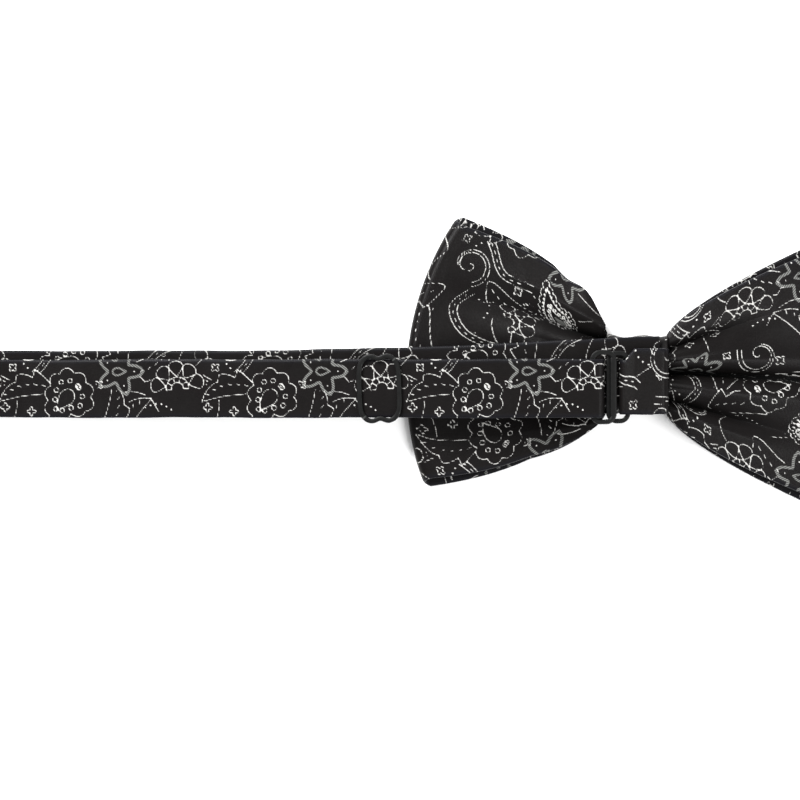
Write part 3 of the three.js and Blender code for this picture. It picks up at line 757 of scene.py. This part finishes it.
# each pleat in mm: its place at the waist and at the edge, its depth, its width at the waist and
# at the edge, and how far out it has faded away
pleats = {
    "rightBack": ((0.8, -2.0, 7.2, 1.1, 1.6, 1.45), (-6.3, -19.0, 4.2, 1.2, 3.0, 0.80),
                  (6.6, 22.0, 3.6, 1.2, 3.0, 0.66), (3.4, 9.0, 1.5, 0.9, 2.2, 0.40),
                  (-3.0, -8.0, 1.3, 0.9, 2.2, 0.36), (-8.6, -25.0, -0.8, 1.2, 3.0, 0.80),
                  (4.0, 4.0, -2.0, 2.0, 4.4, 1.20), (-2.8, -8.0, -2.0, 2.0, 4.4, 1.20)),
    "leftBack": ((9.0, 16.0, 3.4, 1.4, 4.4, 0.95), (-9.4, -19.0, 2.0, 1.5, 5.0, 0.95),
                 (12.5, 27.0, -0.9, 1.2, 3.2, 0.90), (1.0, 2.0, 2.0, 1.5, 6.0, 0.9),
                 (4.6, 9.0, 1.4, 1.1, 3.0, 0.55), (-12.0, -27.0, -0.6, 1.2, 3.0, 0.8)),
    "front": ((2.7, 8.5, 2.0, 1.4, 4.6, 1.0), (6.8, 21.0, 1.4, 1.2, 3.4, 0.75),
              (-4.6, -14.0, 2.0, 1.3, 4.2, 0.95), (-7.6, -24.0, 0.9, 0.9, 2.4, 0.6),
              (-1.6, -4.0, 0.6, 0.8, 2.0, 0.4)),
}


# for each pleat: its depth, how far a place is from its line, counted in the pleat's own widths,
# and how much is left of it this far out
def besidePleats(u, y, folds):
    for start, end, deep, narrow, broad, fade in folds:
        away = (y - start - (end - start) * u) / (narrow + (broad - narrow) * u)
        yield deep, away, np.clip(1 - u / fade, 0, 1) ** 0.9


def pleatDepth(u, y, folds):   # each pleat is a groove beside its line, deepest at the waist
    return sum(deep * np.exp(-np.abs(away) ** 1.4) * left for deep, away, left in besidePleats(u, y, folds))


def clothTaken(u, y, folds):   # the cloth's own place across: each pleat takes some cloth in
    return y + sum(max(deep, 0) * 1.3 * np.tanh(away * 1.2) * left
                   for deep, away, left in besidePleats(u, y, folds))


def softMax(a, b, blend):   # the larger of two heights, eased where they cross
    return 0.5 * (a + b + np.sqrt((a - b) ** 2 + blend ** 2))


wingStart = knotHigh[0] + 0.15
wingRun = wingLook["cornerX"] - wingStart
edgeRadius = (wingLook["edgeHeight"] - wingLook["ply"]) / 2
wingTotal = 2 * wingRun + np.pi * edgeRadius


def wingAcross(u, v, rim, side):   # how far out and across a place on a wing is, before it is leaned
    look = wingLook
    widened = np.power(np.maximum(u, 1e-6), look["flare"])
    depth = look["waistY"] + (look["cornerY"] - look["waistY"]) * widened
    place, spread = look["shoulderAt"]
    swell = look["shoulder"] * np.exp(-((u - place) / spread) ** 2)
    swell = swell + look["upperSwell"] * np.sin(np.pi * np.clip(u, 0, 1) ** 0.8)
    lower = look["lowerSwell"] * np.sin(np.pi * np.clip(u, 0, 1))
    swell = np.where(v > 0, swell * v ** 2, -lower * v ** 2) if side < 0 else 0.0
    bulge = (look["reach"] - look["cornerX"]) * np.maximum(1 - v ** 2, 0) ** look["round"] * u ** 2
    extra = look["leftExtra"] * u ** 2 if side < 0 else 0.0
    x = wingStart + wingRun * u + bulge + extra - (edgeRadius + look["ply"] / 2) * u
    return x, (depth - rim * u + 0.2 * u) * v + swell


def wingLow(u, y):   # the middle of the front ply
    return wingLook["ply"] / 2 + wingLook["frontLift"] * (1 - u) ** 3 + pleatDepth(u, y, pleats["front"])


def leaned(x, y, z, u, side):   # the left wing leans by a few degrees past the knot
    lean = radians(wingLook["leftLean"] if side < 0 else 0.0) * np.minimum(u / wingLook["leanRun"], 1)
    px = x * side
    return np.stack([px * np.cos(lean) + y * np.sin(lean), y * np.cos(lean) - px * np.sin(lean), z], -1)


def wingSurface(side, backFolds):   # front ply from the waist out, round the edge, back ply to the waist
    look = wingLook
    a = wingRun / wingTotal
    fall, sideFall = look["backFall"]

    def shape(t, v):
        front, back = t < a, t > 1 - a
        u = np.where(front, t / a, np.where(back, (1 - t) / a, 1.0))
        turned = np.clip((t - a) / (1 - 2 * a), 0, 1)
        x, y = wingAcross(u, v, look["backRim"] * turned, side)
        return front, back, u, turned, x, y

    def surface(t, v):
        front, back, u, turned, x, y = shape(t, v)
        low = wingLow(u, y)
        rise = (look["waistHeight"] - look["edgeHeight"]) * (1 - u) ** fall * (1 - sideFall * v ** 2)
        high = look["edgeHeight"] + rise - look["ply"] / 2 - pleatDepth(u, y, backFolds)
        high = softMax(high, low + look["ply"] + 0.9 * np.minimum(1.0, 6 * (1 - u)) + 0.05, 0.4)
        edge = look["ply"] / 2 + edgeRadius * (1 - np.cos(np.pi * turned))
        z = np.where(front, low, np.where(back, high, edge))
        return leaned(x + edgeRadius * np.sin(np.pi * turned), y, z, u, side)

    def clothAt(t, v):
        front, back, u, turned, x, y = shape(t, v)
        across = np.where(front, clothTaken(u, y, pleats["front"]), clothTaken(u, y, backFolds))
        startX, startY = look["cutFrom"][side]
        return t * wingTotal * look["easeIn"] + startX, across * side + startY

    def pleatShadeAt(t, v):   # how deep in a pleat of its own ply a place is, from 0 to 1: the mask for the painted shade
        front, back, u, turned, x, y = shape(t, v)
        depth = np.where(front, pleatDepth(u, y, pleats["front"]), pleatDepth(u, y, backFolds) * back)
        return np.clip((depth - look["shadeFrom"]) / look["shadeRange"], 0, 1) ** 1.3

    return surface, clothAt, pleatShadeAt


def makeWing(name, label, side, backFolds):   # the right wing runs the other way across, to face out
    turned = [lambda t, v, rule=rule: rule(t, -side * v) for rule in wingSurface(side, backFolds)]
    rows = int(wingTotal / wingLook["spacing"])
    columns = int(60 / wingLook["spacing"])
    wing = clothPly(name, turned[0], rows, columns, wingLook["ply"], turned[1], satinMaterial, hidden=30,
                    pleatShadeAt=turned[2])
    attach(wing, "bow")
    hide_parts(f"wing_{label}_front", f"wing_{label}_back", f"wing_{label}_edge_fold")
    flat = tuple(length * mm for length in wingLook["flat"])


interliningLook = {
    "ply": 0.4,
    "lift": 0.42,                 # above the middle of the front ply's upper side, mm
    "run": (0.01, 0.91),          # from and to these shares of the wing's length
    "width": 0.88,                # share of the wing's width
}


def makeInterlining(name, label, side):   # a matt ply that follows the front ply inside the wing
    look = interliningLook
    start, end = look["run"]

    def surface(t, v):
        u = start + (end - start) * t
        x, y = wingAcross(u, v * look["width"], 0.0, side)
        z = wingLow(u, y) + wingLook["ply"] / 2 + look["lift"]
        return leaned(x, y, z, u, side)

    facing = lambda t, v: surface(t, -side * v)
    lining = clothPly(name, facing, 60, 90, look["ply"], lambda t, v: (t * 40, v * 30), liningMaterial,
                      hidden=90)
    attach(lining, "bow")
    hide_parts(f"wing_{label}_interlining")


makeInterlining("leftInterlining", "left", -1)
makeInterlining("rightInterlining", "right", 1)
makeWing("leftWing", "left", -1, pleats["leftBack"])
makeWing("rightWing", "right", 1, pleats["rightBack"])

print("stage: band")
bandLook = {
    "width": 15.3,                # mm, as every length here
    "ply": 0.8,
    "gap": 0.3,                   # between plies and metal
    "wire": 1.0,
    "slopeTopX": -15.0,           # the band leaves the knot's level here,
    "slopeFootX": -129.0,         # and lies on the ground from here
    "foldX": -217.0,
    "foldHeight": 5.0,
    "foldRunX": -190.0,           # the upper run rises to the far fold from here
    "foldEase": (6.0, 0.3),       # length and rise of the bends at both ends of that rise
    "lowerY": -1.2,
    "lowerDrift": (3.6, 115.0),   # the lower run veers by this much over this length
    "upperY": -3.6,
    "spacing": 0.34,
    "round": 5.0,                 # bends are eased over this length
    "wobble": (0.010, 0.006),     # how unevenly its edges run, as shares of its width
}
half = bandLook["ply"] / 2
bandRest = knotHigh[2] + bandLook["gap"]
slope = np.arctan2(bandRest, bandLook["slopeTopX"] - bandLook["slopeFootX"])
layerStep = bandLook["ply"] + bandLook["gap"]
barLow = 2 * layerStep
returnLow = barLow + bandLook["wire"] + bandLook["gap"]
upperLow = returnLow + layerStep


def onSlope(x, w):   # a point of the band's route at x, w above the lower run's underside
    if x > bandLook["slopeTopX"] - w * np.tan(slope / 2):
        return x, bandRest + w
    return x, bandRest - (bandLook["slopeTopX"] - x) * np.tan(slope) + w / np.cos(slope)


def slopeMeets(w, z):   # where the layer at w comes down to the level z
    return bandLook["slopeTopX"] - (bandRest + w / np.cos(slope) - z) / np.tan(slope)


def halfTurn(x, z, radius, start, end, steps=24):
    a = np.radians(np.linspace(start, end, steps))
    return list(zip(x + radius * np.cos(a), z + radius * np.sin(a)))


def easedPath(points, ease):   # evenly spaced points along a path, with its bends eased
    p = np.asarray(points, float)
    run = alongPath(p)
    count = max(int(run[-1] / 0.1), 8)
    at = np.linspace(0, run[-1], count)
    q = np.stack([np.interp(at, run, p[:, k]) for k in (0, 1)], 1)
    window = int(ease / 0.1) | 1
    if window > 1:
        pad = window // 2
        ends = np.vstack([2 * q[0] - q[pad:0:-1], q, 2 * q[-1] - q[-2:-pad - 2:-1]])
        kernel = np.hanning(window + 2)[1:-1]
        kernel /= kernel.sum()
        q = np.stack([np.convolve(ends[:, k], kernel, "valid") for k in (0, 1)], 1)
    return q


# a strip of band: its side view follows path (x, z), middleY(x) is its middle across, and
# clothStart is where the strip begins on the cloth; flare(x) moves its upper edge out
def bandPly(name, path, middleY, clothStart, width=None, ease=None, flare=None):
    width = width or bandLook["width"]
    path = easedPath(path, bandLook["round"] if ease is None else ease)
    run = alongPath(path)

    def surface(t, v):
        s = t * run[-1]
        x, z = np.interp(s, run, path[:, 0]), np.interp(s, run, path[:, 1])
        slow, quick = bandLook["wobble"]
        uneven = 1 + slow * np.sin(s * 0.13 + 2.1 * v) - quick * np.sin(s * 0.41)
        y = middleY(x) + v * width / 2 * uneven
        return np.stack([x, y + (flare(x) * (v + 1) / 2 if flare else 0), z], -1)

    def clothAt(t, v):
        return clothStart[0] + t * run[-1], clothStart[1] + v * width / 2

    rows = max(int(run[-1] / bandLook["spacing"]), 12)
    columns = int(width / bandLook["spacing"])
    piece = clothPly(name, surface, rows, columns, bandLook["ply"], clothAt, satinMaterial, hidden=columns)
    if run[-1] > 20:   # the shortest turns are part of the same strips
        wide = width + (flare(path[:, 0]).mean() if flare else 0)
    return piece


flatUpper = bandLook["ply"] + bandLook["gap"] + half
foldTop = bandLook["foldHeight"] - half
lowerRootX = boxOf("band_lower")[1][0]
easeRun, easeRise = bandLook["foldEase"]
drift, driftRun = bandLook["lowerDrift"]
lowerY = lambda x: bandLook["lowerY"] + drift * np.clip((x + driftRun) / driftRun, 0, 1) ** 2
upperY = lambda x: np.full_like(x, bandLook["upperY"])

lower = bandPly("lowerBand", [
    (bandLook["foldX"], half), (slopeMeets(half, half), half),
    (bandLook["slopeTopX"], bandRest + half), (lowerRootX, bandRest + half)], lowerY, (0, 8))
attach(lower, "bow")
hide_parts("band_lower")

hookLow, hookHigh = boxOf("hook")
loopLow, loopHigh = boxOf("band_hook_loop")
loopTop = bandRest + upperLow + half
loopUnder = loopLow[2] + half
loopTurnX = loopHigh[0] - half - (loopTop - loopUnder) / 2
upper = bandPly("upperBand", [
    (bandLook["foldX"], foldTop), (bandLook["foldX"] + easeRun, foldTop - easeRise),
    (bandLook["foldRunX"] - easeRun, flatUpper + easeRise), (bandLook["foldRunX"], flatUpper),
    (slopeMeets(upperLow + half, flatUpper), flatUpper), (bandLook["slopeTopX"], loopTop),
    *halfTurn(loopTurnX, (loopTop + loopUnder) / 2, (loopTop - loopUnder) / 2, 90, -90),
    (loopLow[0], loopUnder)], upperY, (31, 46), ease=1.2)
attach(upper, "strap")
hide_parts("band_upper", "band_hook_loop")

foldMiddle = bandLook["foldHeight"] / 2
fold = bandPly("farFold", halfTurn(bandLook["foldX"], foldMiddle, foldTop - foldMiddle, 270, 90, 40),
               lambda x: np.full_like(x, (bandLook["lowerY"] + bandLook["upperY"]) / 2), (0, 40), ease=0.5)
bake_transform(fold)
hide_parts("band_fold")

anchorHigh = boxOf("adjuster_anchor")[1]
sliderLow, sliderHigh = boxOf("slider")
sliderMiddle = (sliderLow + sliderHigh) / 2
returnPly = bandPly("returnPly", [
    (loopLow[0] - bandLook["gap"], loopUnder), (bandLook["slopeTopX"], loopUnder),
    onSlope(bandLook["slopeTopX"] - 5, returnLow + half),
    onSlope(anchorHigh[0] + bandLook["gap"], returnLow + half)], upperY, (10, 50), ease=1.5)
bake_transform(returnPly)
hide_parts("band_return")


def onSlopeTurned(x, points):   # places points given along and above the slope at x
    base = onSlope(x, 0.0)
    return [(base[0] + a * np.cos(slope) - w * np.sin(slope),
             base[1] + a * np.sin(slope) + w * np.cos(slope)) for a, w in points]


anchorLook = {
    "width": 15.1,
    "short": 0.2,                 # it ends this far inside the CAD's loop,
    "underShort": 1.0,            # and its under side this much sooner
    "turn": 0.65,                 # it turns this far behind the slider's middle bar
}
anchorRadius = (returnLow - layerStep) / 2
anchorLength = (anchorHigh[0] - sliderMiddle[0]) / np.cos(slope) - anchorLook["short"]
anchor = bandPly("anchorLoop", onSlopeTurned(sliderMiddle[0], [
    (anchorLength - anchorLook["underShort"], layerStep + half),
    *halfTurn(-anchorLook["turn"], layerStep + anchorRadius + half, anchorRadius, 270, 90),
    (anchorLength, returnLow + half)]), upperY, (20, 20), ease=0.5, width=anchorLook["width"])
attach(anchor, "adjuster")
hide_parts("adjuster_anchor")

tabLow, tabHigh = boxOf("tab")
eyeLow, eyeHigh = boxOf("eye")
tabLook = {
    "narrower": 1.0,              # than the band
    "gap": 0.25,                  # between its under side and the band
    "eyeTurn": 0.6,               # it turns this far inside the CAD's turn round the eye
    "root": 1.5,                  # how far its under side reaches past the band's end
    "flare": 2.9,                 # its upper edge widens by this much beyond the eye,
    "flareRun": 2.4,              # over this length
}
tabWidth = bandLook["width"] - tabLook["narrower"]
tabRadius = (tabHigh[2] - bandRest) / 2 - half
tabUnder = bandRest + bandLook["ply"] + tabLook["gap"] + half
tabEyeRadius = (tabHigh[2] - half - tabUnder) / 2
tabTurnX = tabHigh[0] - half - tabRadius
tabEyeX = tabLow[0] + half + tabEyeRadius - tabLook["eyeTurn"]
tabFlare = lambda x: tabLook["flare"] * np.clip((x - tabEyeX) / tabLook["flareRun"], 0, 1)
tab = bandPly("tabPly", [
    *halfTurn(tabTurnX, bandRest + half + tabRadius, tabRadius, -90, 90),
    *halfTurn(tabEyeX, tabHigh[2] - half - tabEyeRadius, tabEyeRadius, 90, 270),
    (lowerRootX - tabLook["root"], tabUnder)],
    lambda x: np.full_like(x, tabLow[1] + tabWidth / 2), (43, 22), ease=0.5, width=tabWidth, flare=tabFlare)
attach(tab, "bow")
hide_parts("tab")

print("stage: knot")
knotLook = {
    "wall": 1.1,                  # mm
    "rows": 70,
    "ring": 260,
    "square": 0.5,                # power of its rounded oblong section: smaller is squarer
    "pinch": 0.35,                # drawn in by this much in the middle
    "wave": 0.34,                 # its edges wave by this much
    "dome": 0.2,                  # its front and back fall by this much to both ends
    "crumple": 0.12,
    "inside": 0.1,                # it ends this far inside the CAD's wrap
    "cutFrom": (12.0, 33.0),      # where it lies on the figured cloth
}


# a band round the waist: a rounded oblong section carried along X and pinched in the middle; the
# wall's inner side is the same surface shrunk and run backwards
def makeKnotWrap():
    look = knotLook
    a = np.linspace(0, 2 * np.pi, look["ring"], endpoint=False)
    yHalf = (knotHigh[1] - knotLow[1]) / 2
    zHalf = (knotHigh[2] - knotLow[2]) / 2
    ySide = np.sign(np.cos(a)) * np.abs(np.cos(a)) ** look["square"]
    zSide = np.sign(np.sin(a)) * np.abs(np.sin(a)) ** look["square"]
    x = np.linspace(-1, 1, look["rows"])[:, None]
    outerY = (yHalf - look["pinch"] * (1 - x ** 2) + look["wave"] * np.sin(5.2 * x + 0.6)) * ySide
    crumple = look["crumple"] * np.sin(5 * x + 3 * a) * (np.abs(zSide) > 0.6)
    outerZ = (zHalf - look["dome"] * x ** 2) * zSide + crumple
    outerX = np.broadcast_to(x * (knotHigh[0] - look["inside"]), outerY.shape)
    outer = np.stack([outerX, outerY, outerZ + zHalf], -1)
    shrinkY, shrinkZ = 1 - look["wall"] / yHalf, 1 - look["wall"] / zHalf
    inner = outer[::-1] * (1, shrinkY, 1)
    inner[..., 2] = (inner[..., 2] - zHalf) * shrinkZ + zHalf
    grid = np.concatenate([outer, inner], 0)
    rows = len(grid)
    run = a * (yHalf + zHalf) / 2 * 1.2
    cloth = np.stack([np.broadcast_to(run, grid.shape[:2]), grid[..., 0]], -1) + look["cutFrom"]
    wrap = addPiece("knotWrap", grid.reshape(-1, 3), [ringFaces(rows, look["ring"], True)], satinMaterial,
                    cloth.reshape(-1, 2))
    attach(wrap, "bow")
    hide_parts("knot_wrap")


makeKnotWrap()

print("stage: metalwork")
metalLook = {
    "width": 1.25,                # of the rings' bar, mm
    "thick": 1.0,
    "ring": 20,                   # points round the bar
    "round": 0.42,                # power of its section: smaller is squarer
    "corner": 2.1,                # radius of the hook's and the eye's corners
    "dome": 0.4,                  # length of a straight bar's rounded end
}


def barSection(width, thick, count):   # a rounded oblong, as a superellipse
    a = np.linspace(0, 2 * np.pi, count, endpoint=False)
    return np.stack([np.sign(np.cos(a)) * np.abs(np.cos(a)) ** metalLook["round"] * width / 2,
                     np.sign(np.sin(a)) * np.abs(np.sin(a)) ** metalLook["round"] * thick / 2], 1)


def closedBar(path, width, thick):   # the section carried round a closed path lying flat
    step = np.roll(path, -1, 0) - np.roll(path, 1, 0)
    side = np.stack([step[:, 1], -step[:, 0]], 1)
    side /= np.linalg.norm(side, axis=1, keepdims=True)
    section = barSection(width, thick, metalLook["ring"])
    flat = path[:, None, :2] + side[:, None, :] * section[None, :, :1]
    z = path[:, None, 2:] + np.broadcast_to(section[None, :, 1:], flat.shape[:2] + (1,))
    grid = np.concatenate([flat, z], 2)
    return grid.reshape(-1, 3), [ringFaces(len(path), metalLook["ring"], True)]


def straightBar(a, b, width, thick, up=(0, 0, 1)):   # a rounded bar from a to b, domed at its ends
    a, b, up = (np.asarray(p, float) for p in (a, b, up))
    along = (b - a) / np.linalg.norm(b - a)
    side = np.cross(along, up)
    up = np.cross(side, along)
    length, dome = np.linalg.norm(b - a), metalLook["dome"]
    s = np.concatenate([np.linspace(0, dome, 5), np.linspace(dome, length - dome, 12)[1:-1],
                        length - np.linspace(dome, 0, 5)])
    fromEnd = np.minimum(s, s[-1] - s)
    taper = np.sqrt(np.clip(1 - (1 - np.clip(fromEnd / dome, 0, 1)) ** 2, 0.02, 1))
    section = barSection(width, thick, metalLook["ring"])
    grid = (a + along * s[:, None])[:, None, :] + taper[:, None, None] * (
        side * section[None, :, :1] + up * section[None, :, 1:])
    rows, ring = grid.shape[:2]
    points = np.vstack([grid.reshape(-1, 3), a, b])
    return points, [ringFaces(rows, ring), capFaces(0, ring, rows * ring, True),
                    capFaces((rows - 1) * ring, ring, rows * ring + 1, False)]


def joined(parts):   # several closed shapes as one list of points and faces
    points, quads, tris, base = [], [], [], 0
    for p, faces in parts:
        points.append(p)
        for f in faces:
            (quads if f.shape[1] == 4 else tris).append(f + base)
        base += len(p)
    return np.vstack(points), [np.vstack(q) for q in (quads, tris) if q]


def obround(x0, x1, y0, y1, radius, z, steps=14):   # a closed rounded rectangle lying flat at z
    points = []
    for cx, cy, start in ((x1 - radius, y1 - radius, 0), (x0 + radius, y1 - radius, 90),
                          (x0 + radius, y0 + radius, 180), (x1 - radius, y0 + radius, 270)):
        a = np.radians(np.linspace(start, start + 90, steps))
        points.append(np.stack([cx + radius * np.cos(a), cy + radius * np.sin(a)], 1))
    loop = closed(np.vstack(points))
    run = alongPath(loop)
    at = np.linspace(0, run[-1], 160, endpoint=False)
    return np.stack([np.interp(at, run, loop[:, 0]), np.interp(at, run, loop[:, 1]), np.full(160, z)], 1)


def finishMetal(name, body, node, points, faces):
    piece = addPiece(name, points, faces, enamelMaterial)
    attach(piece, body)
    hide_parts(node)


sliderLook = {
    "placeX": -66.85,             # its middle, mm
    "across": 11.7,               # outer size along the band
    "deep": 18.6,                 # outer size across the band
    "square": (2.9, 4.6),         # powers of its superellipse along and across the band
    "notch": 0.85,                # depth of the notch between its two lobes
    "notchWidth": 1.5,
    "leg": (1.9, 1.0),            # section of the legs that go down beside the band
    "legInset": 0.75,
    "legReach": (0.3, 0.1),       # the legs reach this far into the ring and the middle bar
    "barInset": 0.5,
    "tilt": 2.0,                  # degrees
}


# a ring with two lobes, whose outline is a superellipse with a notch in its middle, and a middle
# bar dropped under the band on two legs
def makeSlider():
    look = sliderLook
    w, thick = metalLook["width"], metalLook["thick"]
    top = upperLow + layerStep + thick / 2
    t = np.linspace(0, 2 * np.pi, 240, endpoint=False)
    c, s = np.cos(t), np.sin(t)
    rx, ry = look["across"] / 2 - w / 2, look["deep"] / 2 - w / 2
    x = np.sign(c) * np.abs(c) ** (2 / look["square"][0]) * rx
    y = np.sign(s) * np.abs(s) ** (2 / look["square"][1]) * ry
    notch = look["notch"] * np.exp(-(x / look["notchWidth"]) ** 2) * (np.abs(y) > ry * 0.6)
    parts = [closedBar(np.stack([x, y - np.sign(y) * notch, np.full_like(x, top)], 1), w, thick)]
    for side in (-1, 1):
        edge = side * (ry - look["legInset"])
        upper, lower = top + look["legReach"][0], barLow + look["legReach"][1]
        parts.append(straightBar((0, edge, upper), (0, edge, lower), *look["leg"], (0, 1, 0)))
    end, level = ry - look["barInset"], barLow + thick / 2
    parts.append(straightBar((0, -end, level), (0, end, level), w, thick))
    points, faces = joined(parts)
    tilt = radians(look["tilt"])
    x, y, z = points.T
    x, y = x * np.cos(tilt) - y * np.sin(tilt), x * np.sin(tilt) + y * np.cos(tilt)
    base = onSlope(look["placeX"], 0.0)
    points = np.stack([base[0] + x * np.cos(slope) - z * np.sin(slope), y + bandLook["upperY"],
                       base[1] + x * np.sin(slope) + z * np.cos(slope)], 1)
    finishMetal("sliderRing", "adjuster", "slider", points, faces)


def makeRing(low, high, thick):   # a flat ring of bar that fills a box's plan, at the box's top
    corner, inset = metalLook["corner"], metalLook["width"] / 2
    path = obround(low[0] + inset, high[0] - inset, low[1] + inset, high[1] - inset, corner,
                   high[2] - thick / 2)
    return closedBar(path, metalLook["width"], thick)


hookLook = {
    "tongue": (0.85, 1.8),        # width and depth of the tongue, mm
    "tongueHalf": 5.4,            # half its length
    "tongueIn": 0.45,             # its middle lies this far in from the right edge
    "tongueDown": 0.9,
    "bar": 1.6,                   # width of the broad right bar
    "barIn": 0.85,
    "barShort": 1.2,              # it ends this far from the ring's middle line
}


def makeHook():   # a ring of rounded bar whose broad right bar carries the tongue
    look = hookLook
    thick = metalLook["thick"]
    z = hookHigh[2] - thick / 2
    start = hookLow[1] + metalLook["width"] / 2
    end = hookHigh[1] - metalLook["width"] / 2
    middle = (start + end) / 2
    x = hookHigh[0] - look["tongueIn"]
    tongue = straightBar((x, middle - look["tongueHalf"], z - look["tongueDown"]),
                         (x, middle + look["tongueHalf"], z - look["tongueDown"]), *look["tongue"])
    x = hookHigh[0] - look["barIn"]
    bar = straightBar((x, start + look["barShort"], z), (x, end - look["barShort"], z), look["bar"], thick)
    points, faces = joined([makeRing(hookLow, hookHigh, thick), tongue, bar])
    finishMetal("hookRing", "strap", "hook", points, faces)


def makeEye():   # the plain ring that the tab holds
    finishMetal("eyeRing", "bow", "eye", *makeRing(eyeLow, eyeHigh, eyeHigh[2] - eyeLow[2]))


makeSlider()
makeHook()
makeEye()

print("stage: linings and threads")
kept = {"knot_lining": liningMaterial, "waist_binding": threadMaterial, "waist_gathers": liningMaterial,
        "adjuster_bar_tack": threadMaterial, "tab_bar_tack": threadMaterial}
for label, material in kept.items():
    nodes[label].data.materials.clear()
    nodes[label].data.materials.append(material)
